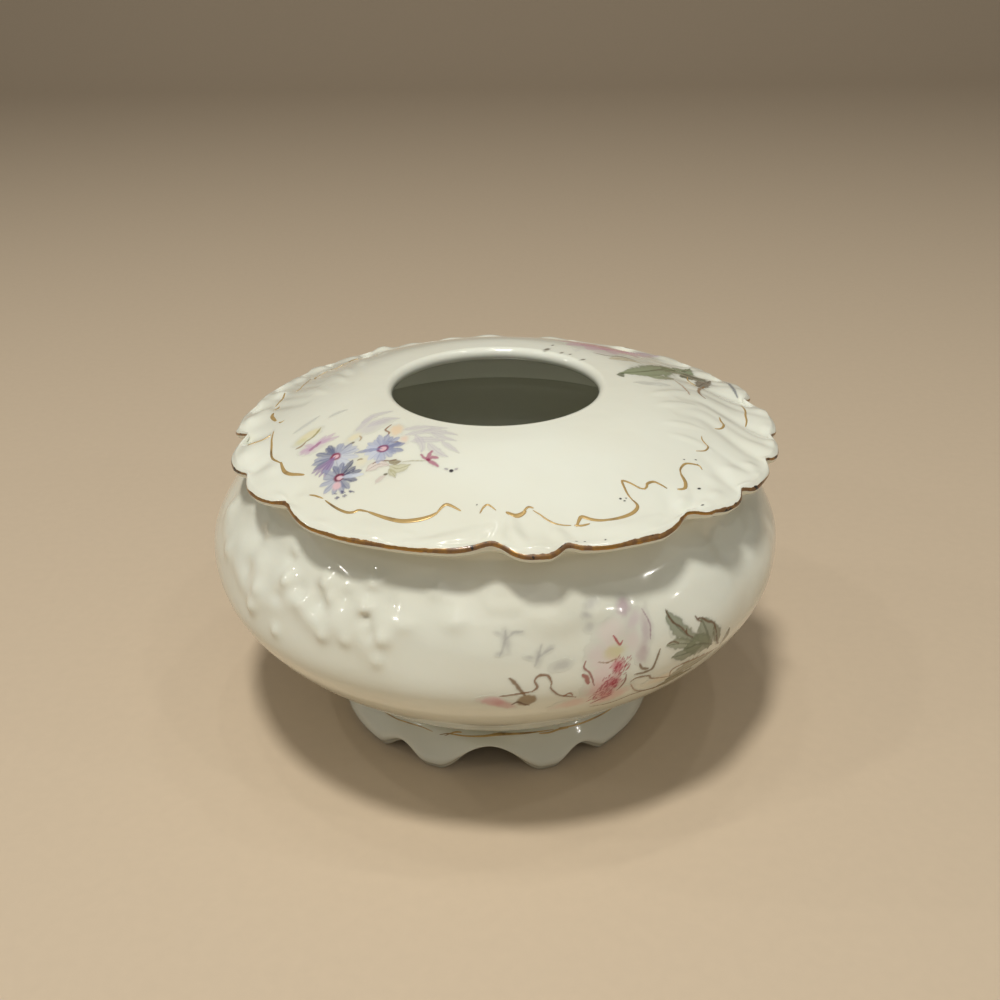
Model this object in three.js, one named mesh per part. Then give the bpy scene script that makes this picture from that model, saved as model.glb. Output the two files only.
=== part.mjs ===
// A porcelain hair receiver: a squat bowl on a scalloped foot, and a loose lid with a round hole in
// its crown, through which combed-out hair is put away. Millimetres, +Z up, with the origin on the
// table under the middle of the foot and the front of the object towards -Y. Azimuths are in
// degrees, from the front towards +X.
import * as THREE from "three";

// Bowl
const bowlRadius = 55.6; // at the widest part of the belly, without its relief
const bowlHeight = 60.0; // table to the flat top of the mouth
const bowlWall = 3.0;
const mouthRadius = 43.6; // inside of the mouth
const mouthRimWidth = 3.4;
const mouthRimHeight = 2.6; // the upright part of the mouth
const mouthRound = 0.8;
const puffHeight = 1.4; // the rounded swellings of the shoulder
const plumeHeight = 1.2; // the leafy plumes beside them
const plumeHalfWidth = 2.4;

// Foot, in one piece with the bowl
const footHeight = 8.5; // table to the crease under the belly
const footRadius = 31.6; // where it stands
const footBulge = 33.2; // the fullest part of its lobes
const footWaist = 28.4; // at the crease
const footWall = 3.4;
const footRound = 0.8;
const recessDepth = 7.2; // table to the underside of the bowl's floor
const archRise = 6.4; // the tall arches between the lobes
const notchRise = 2.8; // the lower notch on each side of an arch
const archPinch = 1.8; // how far an arch draws the foot in
const notchPinch = 1.2; // how far a notch does

// Lid
const lidRadius = 52.9; // to the tips of the scallops, from the middle of the rim
const lidRise = 8.6; // edge to crown
const lidWall = 2.8;
const lidEdgeThickness = 1.8;
const lidEdgeLift = 1.4; // the edge's upper corner above the mouth of the bowl
const holeRadius = 20.0;
const flangeDepth = 4.6; // the ring under the lid that drops into the mouth
const flangeWall = 2.6;
const flangeRound = 0.6;
const flangeClearance = 0.8; // play of the ring in the mouth, on the radius
const seatGap = 0.3; // between the mouth and the lid that rests on it
const rimShift = 0.9; // how far the middle of the rim lies off the axis of the hole, towards +X
const scallopDepth = 1.9; // the deepest notch between two scallops
const scallopLift = 1.0; // how far the edge rises at that notch
const fluteDepth = 0.8; // the grooves that run in from the notches

const bowlSegments = 90;
const lidSegments = 135;
const turn = 360;
const radian = Math.PI / 180;

const bowlGlaze = new THREE.MeshStandardMaterial({ color: 0xeeefe4, roughness: 0.12, metalness: 0 });
const lidGlaze = new THREE.MeshStandardMaterial({ color: 0xf0f3ea, roughness: 0.1, metalness: 0 });

// Rises smoothly from 0 at a to 1 at b.
function ease(a, b, x) {
  const t = Math.min(1, Math.max(0, (x - a) / (b - a)));
  return t * t * (3 - 2 * t);
}

// The angle from one azimuth to another, counted within a turn divided into equal copies, so that
// with two copies opposite azimuths are the same.
function angleFrom(from, to, copies = 1) {
  const span = turn / copies;
  const angle = (to - from) / span;
  return (angle - Math.round(angle)) * span;
}

// A pointed notch, 1 at its middle and 0 at its reach.
function cusp(distance, reach) {
  return Math.max(0, 1 - Math.abs(distance) / reach) ** 2;
}

// A round-topped arch that runs out flat, 1 at its middle and 0 at its reach.
function arch(distance, reach) {
  return Math.max(0, 1 - (distance / reach) ** 2) ** 2;
}

// A swelling that fades without an edge, 1 at its middle.
function swelling(distance, halfWidth) {
  return Math.exp(-((distance / halfWidth) ** 2));
}

// The points of a smooth curve through a few [radius, height] points.
function smoothCurve(points, steps) {
  const curve = new THREE.SplineCurve(points.map(([r, z]) => new THREE.Vector2(r, z)));
  return curve.getPoints(steps).map((point) => [point.x, point.y]);
}

// A curve moved by a distance to its left as it runs.
function moved(points, distance) {
  return points.map(([r, z], i) => {
    const [r0, z0] = points[Math.max(0, i - 1)];
    const [r1, z1] = points[Math.min(points.length - 1, i + 1)];
    const length = Math.hypot(r1 - r0, z1 - z0);
    return [r - (distance * (z1 - z0)) / length, z + (distance * (r1 - r0)) / length];
  });
}

// A few points of a curve, evenly picked, with its first and last.
function thinned(points, count) {
  const step = (points.length - 1) / (count - 1);
  return Array.from({ length: count }, (_, i) => points[Math.round(i * step)]);
}

// A surface of revolution whose points are then moved. The outline is a list of stretches, each
// with its points and, where it isn't plain, the function that moves a point at an azimuth: to a
// radius, a height and how far the point is set aside towards +X.
function turned(outline, segments) {
  const points = outline.flatMap(({ points, shape }) => points.map(([r, z]) => ({ r, z, shape })));
  const profile = points.map(({ r, z }) => new THREE.Vector2(r, z));
  const geometry = new THREE.LatheGeometry(profile, segments);
  geometry.rotateX(Math.PI / 2);
  const position = geometry.getAttribute("position");
  for (let i = 0; i < position.count; i++) {
    const { r, z, shape } = points[i % points.length];
    const step = Math.floor(i / points.length) % segments;
    const azimuth = (step / segments) * turn;
    const [r1, z1, aside = 0] = shape ? shape(r, z, azimuth) : [r, z];
    const angle = azimuth * radian;
    position.setXYZ(i, r1 * Math.sin(angle) + aside, -r1 * Math.cos(angle), z1);
  }
  geometry.computeVertexNormals();
  return geometry;
}

// Bowl
// The outline runs from the middle of the underside out to the foot, up the outside, over the mouth
// and down the inside to the middle of the floor.

const neckRadius = mouthRadius + mouthRimWidth;
const neckHeight = bowlHeight - mouthRimHeight;
const bellySteps = 18;
const hollowPoints = 8;
const recessMiddleShare = 0.5;
const hollowEdgeShare = 0.88; // the flat of the floor, of the lowest ring of the hollow

// How far the lobes of the foot stand out from its waist, and how high up that is.
const lobeShares = [
  [1, 0.29],
  [1, 0.53],
  [0.5, 0.77],
];

// How far the belly stands out, from the foot's waist or from the neck to its widest part, and how
// high that is between the foot and the neck.
const bellyShares = [
  [0, 0],
  [0.16, 0.07],
  [0.38, 0.16],
  [0.58, 0.26],
  [0.79, 0.37],
  [0.93, 0.47],
  [1, 0.57],
];
const shoulderShares = [
  [0.88, 0.69],
  [0.58, 0.8],
  [0.2, 0.9],
  [0, 1],
];

function bellyCurve() {
  const rise = neckHeight - footHeight;
  const lower = bellyShares.map(([out, up]) => [
    footWaist + out * (bowlRadius - footWaist),
    footHeight + up * rise,
  ]);
  const upper = shoulderShares.map(([out, up]) => [
    neckRadius + out * (bowlRadius - neckRadius),
    footHeight + up * rise,
  ]);
  return smoothCurve([...lower, ...upper], bellySteps);
}

// The edge of the foot, three times round: a tall arch with a lower notch on each side of it, and
// between them the lobes that it stands on.
const footCopies = 3;
const archAt = -2.7;
const archReach = 19;
const notchOffset = 34;
const notchReach = 10.5;

function footGaps(azimuth) {
  const fromArch = angleFrom(archAt, azimuth, footCopies);
  const tall = arch(fromArch, archReach);
  const low = arch(Math.abs(fromArch) - notchOffset, notchReach);
  return { tall, low };
}

// Moves a point of the foot that lies under a given height: up at an arch or notch, and inwards.
function footShape(top) {
  return (r, z, azimuth) => {
    const { tall, low } = footGaps(azimuth);
    const fade = Math.max(0, 1 - z / top);
    const lift = Math.max(archRise * tall, notchRise * low);
    const pinch = Math.max(archPinch * tall, notchPinch * low);
    return [r - pinch * fade, z + lift * fade];
  };
}

// The shoulder's relief, the same on opposite sides. A puff has its azimuth and half-width in
// degrees, and shares: its height on the bowl, its half-height and how far it stands out.
const reliefCopies = 2;
const puffShares = [
  { at: -76, halfWidth: 13, up: 0.82, tall: 0.13, out: 0.4 },
  { at: -10, halfWidth: 9, up: 0.81, tall: 0.08, out: 0.4 },
  { at: 2, halfWidth: 6, up: 0.86, tall: 0.05, out: 0.35 },
  { at: 16, halfWidth: 7, up: 0.82, tall: 0.07, out: 0.65 },
  { at: 42.5, halfWidth: 11, up: 0.74, tall: 0.12, out: 1 },
  { at: 64, halfWidth: 8, up: 0.77, tall: 0.12, out: 0.9 },
];
// A plume runs from one [azimuth, share of the bowl's height] to another.
const plumeShares = [
  { from: [-78, 0.9], to: [-69, 0.74], out: 0.6 },
  { from: [-70, 0.84], to: [-45, 0.81], out: 0.9 },
  { from: [-60, 0.8], to: [-52.5, 0.69], out: 0.9 },
  { from: [-46, 0.79], to: [-33, 0.71], out: 1.1 },
  { from: [-35, 0.83], to: [-27.5, 0.71], out: 1.1 },
  { from: [-25.5, 0.83], to: [-21, 0.69], out: 1 },
  { from: [-52, 0.885], to: [-37, 0.855], out: 0.8 },
  { from: [-35, 0.855], to: [-12, 0.875], out: 0.7 },
];
const reliefFootShare = 0.62; // the relief fades out under this height
const reliefNeckShare = 0.93; // and over this one

// The distance over the belly from a point to the line of a plume.
function plumeDistance(azimuth, z, { from, to }) {
  const degree = bowlRadius * radian;
  const across = angleFrom(from[0], azimuth, reliefCopies) * degree;
  const up = z - from[1] * bowlHeight;
  const lineAcross = (to[0] - from[0]) * degree;
  const lineUp = (to[1] - from[1]) * bowlHeight;
  const along = (across * lineAcross + up * lineUp) / (lineAcross ** 2 + lineUp ** 2);
  const nearest = Math.min(1, Math.max(0, along));
  return Math.hypot(across - nearest * lineAcross, up - nearest * lineUp);
}

function bellyShape(r, z, azimuth) {
  const puffs = puffShares.map(({ at, halfWidth, up, tall, out }) => {
    const across = swelling(angleFrom(at, azimuth, reliefCopies), halfWidth);
    return out * puffHeight * across * swelling(z - up * bowlHeight, tall * bowlHeight);
  });
  const plumes = plumeShares.map((plume) => {
    const distance = plumeDistance(azimuth, z, plume);
    return plume.out * plumeHeight * swelling(distance, plumeHalfWidth);
  });
  const fadeBelow = ease(footHeight, reliefFootShare * bowlHeight, z);
  const fadeAbove = 1 - ease(reliefNeckShare * neckHeight, neckHeight, z);
  return [r + Math.max(...puffs, ...plumes) * fadeBelow * fadeAbove, z];
}

function bowlOutline() {
  const belly = bellyCurve();
  const floor = recessDepth + bowlWall;
  const mouthFoot = bowlHeight - flangeDepth - seatGap;
  const inside = moved(belly, bowlWall).filter(([, z]) => z > floor && z < mouthFoot).reverse();
  const hollow = thinned(inside, hollowPoints);
  const insideTop = footWaist - footWall;
  const insideFoot = footRadius - footWall;
  const lobes = lobeShares.map(([out, up]) => [footWaist + out * (footBulge - footWaist), up * footHeight]);
  return [
    { points: [[0, recessDepth]] },
    {
      points: [
        [insideTop, recessDepth],
        [insideTop + (insideFoot - insideTop) * recessMiddleShare, recessDepth * recessMiddleShare],
        [insideFoot, footRound],
        [insideFoot + footRound, 0],
      ],
      shape: footShape(recessDepth),
    },
    {
      points: [
        [footRadius - footRound, 0],
        [footRadius, footRound],
        ...lobes,
      ],
      shape: footShape(footHeight),
    },
    { points: belly, shape: bellyShape },
    {
      points: [
        [neckRadius, bowlHeight - mouthRound],
        [neckRadius - mouthRound, bowlHeight],
        [mouthRadius + mouthRound, bowlHeight],
        [mouthRadius, bowlHeight - mouthRound],
        [mouthRadius, mouthFoot],
        ...hollow,
        [hollow.at(-1)[0] * hollowEdgeShare, floor],
        [0, floor],
      ],
    },
  ];
}

// Lid
// The outline starts at the inner foot of the flange, goes out round the flange and the seat to the
// edge, in over the crown, round the lip of the hole, and back along the underside of the crown.

const seatHeight = bowlHeight + seatGap;
const edgeTop = bowlHeight + lidEdgeLift;
const flangeRadius = mouthRadius - flangeClearance;
const crownSteps = 10;
const lipSteps = 5;
const undersidePoints = 4;
const seatRunShare = 0.35; // the flat seat, of the way from the mouth's outer edge to the lid's

// The crown's height from its edge to the hole, as a share of the way in and of the rise.
const crownShares = [
  [0, 0],
  [0.08, 0.05],
  [0.2, 0.2],
  [0.4, 0.5],
  [0.6, 0.76],
  [0.8, 0.94],
  [1, 1],
];

function crownCurve() {
  const lipOutside = holeRadius + lidWall / 2;
  return smoothCurve(
    crownShares.map(([inwards, up]) => [
      lidRadius - inwards * (lidRadius - lipOutside),
      edgeTop + up * lidRise,
    ]),
    crownSteps,
  );
}

// The half-round lip of the hole, from the top of the crown down to its underside.
function lipCurve() {
  const radius = lidWall / 2;
  const middle = new THREE.Vector2(holeRadius + radius, edgeTop + lidRise - radius);
  return Array.from({ length: lipSteps - 1 }, (_, i) => {
    const angle = Math.PI / 2 + ((i + 1) / lipSteps) * Math.PI;
    return [middle.x + radius * Math.cos(angle), middle.y + radius * Math.sin(angle)];
  });
}

// The notches between the scallops. Each has its azimuth and reach in degrees, and its share of the
// deepest notch.
const notchShares = [
  { at: -162, reach: 11, deep: 0.8 },
  { at: -150, reach: 5, deep: 0.4 },
  { at: -140, reach: 7, deep: 0.9 },
  { at: -130, reach: 5, deep: 0.6 },
  { at: -119, reach: 5, deep: 0.5 },
  { at: -111, reach: 5, deep: 0.7 },
  { at: -100, reach: 6, deep: 0.8 },
  { at: -84, reach: 8, deep: 1 },
  { at: -65, reach: 7, deep: 0.6 },
  { at: -46, reach: 8, deep: 0.9 },
  { at: -3.2, reach: 8, deep: 1 },
  { at: 12.5, reach: 5, deep: 0.4 },
  { at: 36.5, reach: 9, deep: 0.8 },
  { at: 52, reach: 5, deep: 0.5 },
  { at: 66, reach: 5, deep: 0.45 },
  { at: 80, reach: 5, deep: 0.5 },
  { at: 96, reach: 7, deep: 1 },
  { at: 112, reach: 6, deep: 0.9 },
  { at: 127, reach: 6, deep: 0.8 },
  { at: 146, reach: 8, deep: 1 },
  { at: 161, reach: 5, deep: 0.6 },
  { at: 171, reach: 5, deep: 0.7 },
];
const borderShare = 0.72; // where the grooves begin, of the lid's radius
const groovePeakShare = 0.93; // and where they are deepest

function notchDepth(azimuth) {
  return Math.max(...notchShares.map(({ at, reach, deep }) => deep * cusp(angleFrom(at, azimuth), reach)));
}

const seatEnd = neckRadius + (lidRadius - neckRadius) * seatRunShare;

function edgeShape(r, z, azimuth) {
  const notch = notchDepth(azimuth) * ease(seatEnd, lidRadius, r);
  const aside = rimShift * ease(holeRadius + lidWall, lidRadius, r);
  return [r - scallopDepth * notch, z + scallopLift * notch, aside];
}

function crownShape(r, z, azimuth) {
  const peak = groovePeakShare * lidRadius;
  const groove = ease(borderShare * lidRadius, peak, r) * (1 - ease(peak, lidRadius, r));
  const [r1, z1, aside] = edgeShape(r, z, azimuth);
  return [r1, z1 - fluteDepth * notchDepth(azimuth) * groove, aside];
}

function lidOutline() {
  const crown = crownCurve();
  const lip = lipCurve();
  const flangeInside = flangeRadius - flangeWall;
  const flangeFoot = seatHeight - flangeDepth;
  const inside = moved(crown, lidWall).filter(([r]) => r < flangeInside - lidWall / 2).reverse();
  const underside = thinned(inside, undersidePoints);
  const start = [flangeInside, flangeFoot + flangeRound];
  return [
    {
      points: [
        start,
        [flangeInside + flangeRound, flangeFoot],
        [flangeRadius - flangeRound, flangeFoot],
        [flangeRadius, flangeFoot + flangeRound],
        [flangeRadius, seatHeight],
        [seatEnd, seatHeight],
      ],
    },
    {
      points: [
        [lidRadius - lidEdgeThickness / 2, edgeTop - lidEdgeThickness],
        [lidRadius, edgeTop - lidEdgeThickness / 2],
      ],
      shape: edgeShape,
    },
    { points: crown, shape: crownShape },
    { points: [...lip, ...underside, start] },
  ];
}

function piece(name, geometry, material) {
  const mesh = new THREE.Mesh(geometry, material);
  mesh.name = name;
  return mesh;
}

const receiver = new THREE.Group();
receiver.add(piece("bowl", turned(bowlOutline(), bowlSegments), bowlGlaze));
receiver.add(piece("lid", turned(lidOutline(), lidSegments), lidGlaze));

export default receiver;
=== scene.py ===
# A porcelain hair receiver: a footed bowl with a moulded shoulder and a loose lid with a round hole,
# painted with flower sprays and gilded.
import math

import bmesh
import bpy
import numpy as np
from mathutils import Matrix, Vector


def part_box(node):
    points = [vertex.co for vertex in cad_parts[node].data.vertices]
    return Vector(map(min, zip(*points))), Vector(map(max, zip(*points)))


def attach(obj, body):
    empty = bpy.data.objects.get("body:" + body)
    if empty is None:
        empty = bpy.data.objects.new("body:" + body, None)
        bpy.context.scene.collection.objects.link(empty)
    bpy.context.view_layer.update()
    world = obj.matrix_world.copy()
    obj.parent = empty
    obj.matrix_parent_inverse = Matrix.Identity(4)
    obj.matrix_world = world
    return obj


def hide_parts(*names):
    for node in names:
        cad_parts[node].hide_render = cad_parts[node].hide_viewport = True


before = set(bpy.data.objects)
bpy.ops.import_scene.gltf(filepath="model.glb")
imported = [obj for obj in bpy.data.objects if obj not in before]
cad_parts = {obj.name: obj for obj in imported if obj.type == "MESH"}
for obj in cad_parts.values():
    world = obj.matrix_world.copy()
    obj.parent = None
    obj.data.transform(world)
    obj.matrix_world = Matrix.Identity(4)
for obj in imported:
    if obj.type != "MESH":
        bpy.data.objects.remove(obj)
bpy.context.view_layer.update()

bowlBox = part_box("bowl")

# Lengths of the object are in millimetres, azimuths in degrees from the front towards +X.
mm = 0.001
fullTurn = 360.0


def ease(low, high, x):
    t = np.clip((x - low) / (high - low), 0.0, 1.0)
    return t * t * (3 - 2 * t)


def azimuthFrom(start, azimuth, copies):
    # the angle between two azimuths, counted within a turn divided into equal copies
    span = fullTurn / copies
    angle = (azimuth - start) / span
    return (angle - np.round(angle)) * span


def smoothCurve(points, steps):
    # a smooth curve through a few points
    points = np.array(points, float)
    place = np.linspace(0, len(points) - 1, steps)
    i = np.minimum(place.astype(int), len(points) - 2)
    t = (place - i)[:, None]
    before = points[np.maximum(i - 1, 0)]
    start = points[i]
    end = points[i + 1]
    after = points[np.minimum(i + 2, len(points) - 1)]
    bend = 2 * before - 5 * start + 4 * end - after
    twist = 3 * start - before - 3 * end + after
    return 0.5 * (2 * start + (end - before) * t + bend * t**2 + twist * t**3)


def besideCurve(points, distance):
    # a curve moved sideways, to its left as it runs
    along = np.gradient(points, axis=0)
    length = np.hypot(along[:, 0], along[:, 1])
    left = np.stack([-along[:, 1], along[:, 0]], 1) / length[:, None]
    return points + left * distance


def distanceToPath(x, y, path):
    # the distance to the nearest point of a path, and how far along the path that point is
    steps = np.hypot(*np.diff(path, axis=0).T)
    reached = np.concatenate([[0], np.cumsum(steps)]) / steps.sum()
    nearest = np.full(x.shape, np.inf)
    along = np.zeros(x.shape)
    for (x0, y0), (x1, y1), from0, to1, step in zip(path, path[1:], reached, reached[1:], steps):
        share = ((x - x0) * (x1 - x0) + (y - y0) * (y1 - y0)) / max(step**2, 1e-12)
        share = np.clip(share, 0, 1)
        distance = np.hypot(x - x0 - share * (x1 - x0), y - y0 - share * (y1 - y0))
        closer = distance < nearest
        nearest = np.where(closer, distance, nearest)
        along = np.where(closer, from0 + share * (to1 - from0), along)
    return nearest, along


def blurred(field, radius):
    # softens a field of heights whose rows run right round, as the glaze does
    reach = int(math.ceil(radius * 3))
    weights = np.exp(-0.5 * (np.arange(-reach, reach + 1) / radius) ** 2)
    weights /= weights.sum()
    padded = np.pad(field, ((reach, reach), (0, 0)), mode="wrap")
    rows = sum(w * padded[i : i + field.shape[0]] for i, w in enumerate(weights))
    padded = np.pad(rows, ((0, 0), (reach, reach)), mode="edge")
    return sum(w * padded[:, i : i + field.shape[1]] for i, w in enumerate(weights))


def onCircle(azimuth, radius, height, aside=0.0):
    # points by azimuth, radius and height, with their circle moved aside
    angle = np.radians(azimuth)
    return np.stack([radius * np.sin(angle) + aside, -radius * np.cos(angle), height], -1)


def meshFrom(bm, name):
    mesh = bpy.data.meshes.new(name)
    bm.to_mesh(mesh)
    bm.free()
    return mesh


def vertexPlaces(mesh):
    places = np.zeros(len(mesh.vertices) * 3)
    mesh.vertices.foreach_get("co", places)
    return places.reshape(-1, 3)


def moveVertices(mesh, places):
    mesh.vertices.foreach_set("co", (places * mm).astype(np.float32).ravel())
    mesh.update()


def storeValues(mesh, name, values):
    # a number, or a colour, for each vertex
    kind, key = ("FLOAT", "value") if values.ndim == 1 else ("FLOAT_COLOR", "color")
    layer = mesh.attributes.new(name, kind, "POINT")
    layer.data.foreach_set(key, values.astype(np.float32).ravel())


ridge = {
    "pathPoints": 14,
    "margin": 1.2,
    "rises": (-0.1, 0.45),
    "sinks": (0.45, 1),
    "sinksBy": 0.45,
    "tipShare": 0.25,
    "leastWidth": 0.4,
    "spread": 1.25,
}


class ReliefMap:
    # moulded heights over a share of a turn, looked up by azimuth and by height or radius
    def __init__(self, low, high, step, beltRadius, copies):
        self.low = low
        self.step = step
        self.belt = math.radians(beltRadius)
        self.copies = copies
        self.span = fullTurn / copies
        self.rows = int(self.span / math.degrees(step / beltRadius))
        self.columns = int((high - low) / step)
        self.azimuth = np.arange(self.rows) * self.span / self.rows
        self.across = low + np.arange(self.columns) * step
        self.height = np.zeros((self.rows, self.columns))

    def around(self, middle, reachX, lowest, highest):
        # the part of the map near a feature: where it is, and its places in millimetres
        x = azimuthFrom(middle, self.azimuth, self.copies) * self.belt
        rows = np.flatnonzero(np.abs(x) < reachX)
        columns = np.flatnonzero((self.across > lowest) & (self.across < highest))
        return np.ix_(rows, columns), x[rows][:, None], self.across[columns][None, :]

    def alongPath(self, path, reach):
        curve = smoothCurve(path, ridge["pathPoints"])
        middle = curve[:, 0].mean()
        flat = np.stack([(curve[:, 0] - middle) * self.belt, curve[:, 1]], 1)
        reachX = np.abs(flat[:, 0]).max() + reach
        lowest = flat[:, 1].min() - reach
        where, x, y = self.around(middle, reachX, lowest, flat[:, 1].max() + reach)
        x, y = np.broadcast_arrays(x, y)
        distance, along = distanceToPath(x, y, flat)
        return where, distance, along

    def addRidge(self, path, width, height):
        # a leaf-like ridge that rises from its root and sinks a little towards its rounded tip
        where, distance, along = self.alongPath(path, width * ridge["margin"])
        rise = ease(*ridge["rises"], along)
        tip = np.clip((1 - along) / ridge["tipShare"], 0, 1) ** 0.5
        reach = width * np.maximum((0.55 + 0.45 * rise) * tip, ridge["leastWidth"])
        dome = np.clip(1 - (distance / (ridge["spread"] * reach)) ** 2, 0, 1) ** 1.5
        sunk = 1 - ridge["sinksBy"] * ease(*ridge["sinks"], along)
        self.height[where] += height * dome * rise * sunk

    def addPuff(self, at, across, halfWidth, halfHeight, height, crisp=1.5):
        # a rounded swelling, or a pit where the height is negative
        wide = halfWidth * self.belt
        far = 2.2
        where, x, y = self.around(at, far * wide, across - far * halfHeight, across + far * halfHeight)
        away = (x / wide) ** 2 + ((y - across) / halfHeight) ** 2
        self.height[where] += height * np.exp(-(away**crisp))

    def addGroove(self, path, width, depth):
        where, distance, along = self.alongPath(path, width * 3)
        self.height[where] -= depth * np.exp(-((distance / width) ** 2)) * np.clip(1 - along, 0, 1) ** 0.6

    def addBand(self, lower, upper, thickness, crisp, soft):
        # a raised band between two edges, each given as points of azimuth and place
        start = lower[0][0]
        azimuth = start + (self.azimuth - start) % self.span
        low = np.interp(azimuth, *np.array(lower).T)[:, None]
        high = np.interp(azimuth, *np.array(upper).T)[:, None]
        thick = np.interp(azimuth, *np.array(thickness).T)[:, None]
        above = ease(low - crisp / 2, low + crisp / 2, self.across[None, :])
        self.height += thick * above * (1 - ease(high - soft / 2, high + soft / 2, self.across[None, :]))

    def soften(self, radius):
        self.height = blurred(self.height, radius / self.step)

    def look(self, azimuth, across):
        row = (azimuth % self.span) / self.span * self.rows
        column = np.clip((across - self.low) / self.step, 0, self.columns - 1.001)
        i = np.floor(row).astype(int)
        j = np.floor(column).astype(int)
        s = row - i
        t = column - j
        near = self.height[i % self.rows, j] * (1 - t) + self.height[i % self.rows, j + 1] * t
        i = (i + 1) % self.rows
        far = self.height[i, j] * (1 - t) + self.height[i, j + 1] * t
        return near * (1 - s) + far * s


# Bowl

bowl = {
    "radius": 55.6,
    "height": bowlBox[1].z / mm,
    "wall": 3.0,
    "mouthRadius": 43.6,
    "mouthRimWidth": 3.4,
    "mouthRimHeight": 2.6,
    "mouthRound": 0.8,
    "mouthRoundStep": 0.25,
    "neckStart": 0.4,
    "neckSteps": 4,
    "hollowGap": 0.3,
    "floorShare": 0.88,
    "footHeight": 8.5,
    "footRadius": 31.8,
    "footBulge": 32.9,
    "footWaist": 28.4,
    "footWall": 3.4,
    "footRound": 0.8,
    "footRoundStep": 0.2,
    "footSteps": 16,
    "recessDepth": 7.2,
    "recessSteps": 8,
    "arches": 3,
    "archRise": 6.4,
    "notchRise": 2.8,
    "archPinch": 1.8,
    "notchPinch": 1.2,
    "archAt": -2.7,
    "archReach": 19.0,
    "notchOffset": 34.0,
    "notchReach": 10.5,
    "flangeDepth": 4.6,
    "lean": 0.4,
    "footLean": 0.6,
    "leanFrom": 30,
    "leanEnd": 45,
    "sectors": 20,
    "sectorSteps": 30,
    "bellyPoints": 98,
    "foldSoftening": 1.15,
    "softening": 0.35,
    "reliefFoot": (32, 37),
    "bladeWidth": 0.85,
    "bladeHeight": 0.85,
    "knobSize": 1.05,
    "knobHeight": 1.6,
    "hollowStride": 5,
    "reliefTop": 0.93,
}
bowl["neckRadius"] = bowl["mouthRadius"] + bowl["mouthRimWidth"]
bowl["neckHeight"] = bowl["height"] - bowl["mouthRimHeight"]

# how far the belly stands out between its waist or neck and its widest part, and how high up
bellyShares = [(0, 0), (0.16, 0.07), (0.38, 0.16), (0.58, 0.26), (0.79, 0.37), (0.93, 0.47), (1, 0.57)]
shoulderShares = [(0.88, 0.69), (0.58, 0.8), (0.2, 0.9), (0, 1)]

# how far the foot's lobes stand out from its waist, and how high up, from its edge to the crease
lobeShares = [(1, 0.27), (0.82, 0.5), (0.5, 0.75), (0.28, 0.93), (0, 1)]

# the leafy band of the shoulder: its lower edge, its crest and its thickness, by azimuth
bandLower = [(-98, 50), (-86, 49), (-76, 47.5), (-66, 45), (-59, 42.8), (-54, 41.4), (-50, 41.6)]
bandLower += [(-46, 43), (-42.5, 44), (-39.6, 44.6), (-37, 44.2), (-33, 42.8), (-30, 43.4), (-27, 43.4)]
bandLower += [(-24.3, 43.4), (-21.6, 42.8), (-19.4, 44), (-16, 45.6), (-9, 46.5), (82, 46)]
bandUpper = [(-98, 58), (-75, 57), (-62, 56), (-55.6, 55), (-48.5, 54.5), (-44, 54), (-40.9, 53.2)]
bandUpper += [(-34.5, 52), (-30, 51.6), (-27, 52.7), (-24.4, 53.4), (-16, 53), (-12, 53.3), (-5, 53)]
bandUpper += [(4, 52.3), (10, 53), (20, 52), (82, 58)]
bandThick = [(-98, 0.0), (-90, 0.2), (-78, 0.5), (-60, 0.7), (-30, 0.7), (-22, 0.45)]
bandThick += [(-15, 0.15), (-10, 0), (82, 0)]
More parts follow.
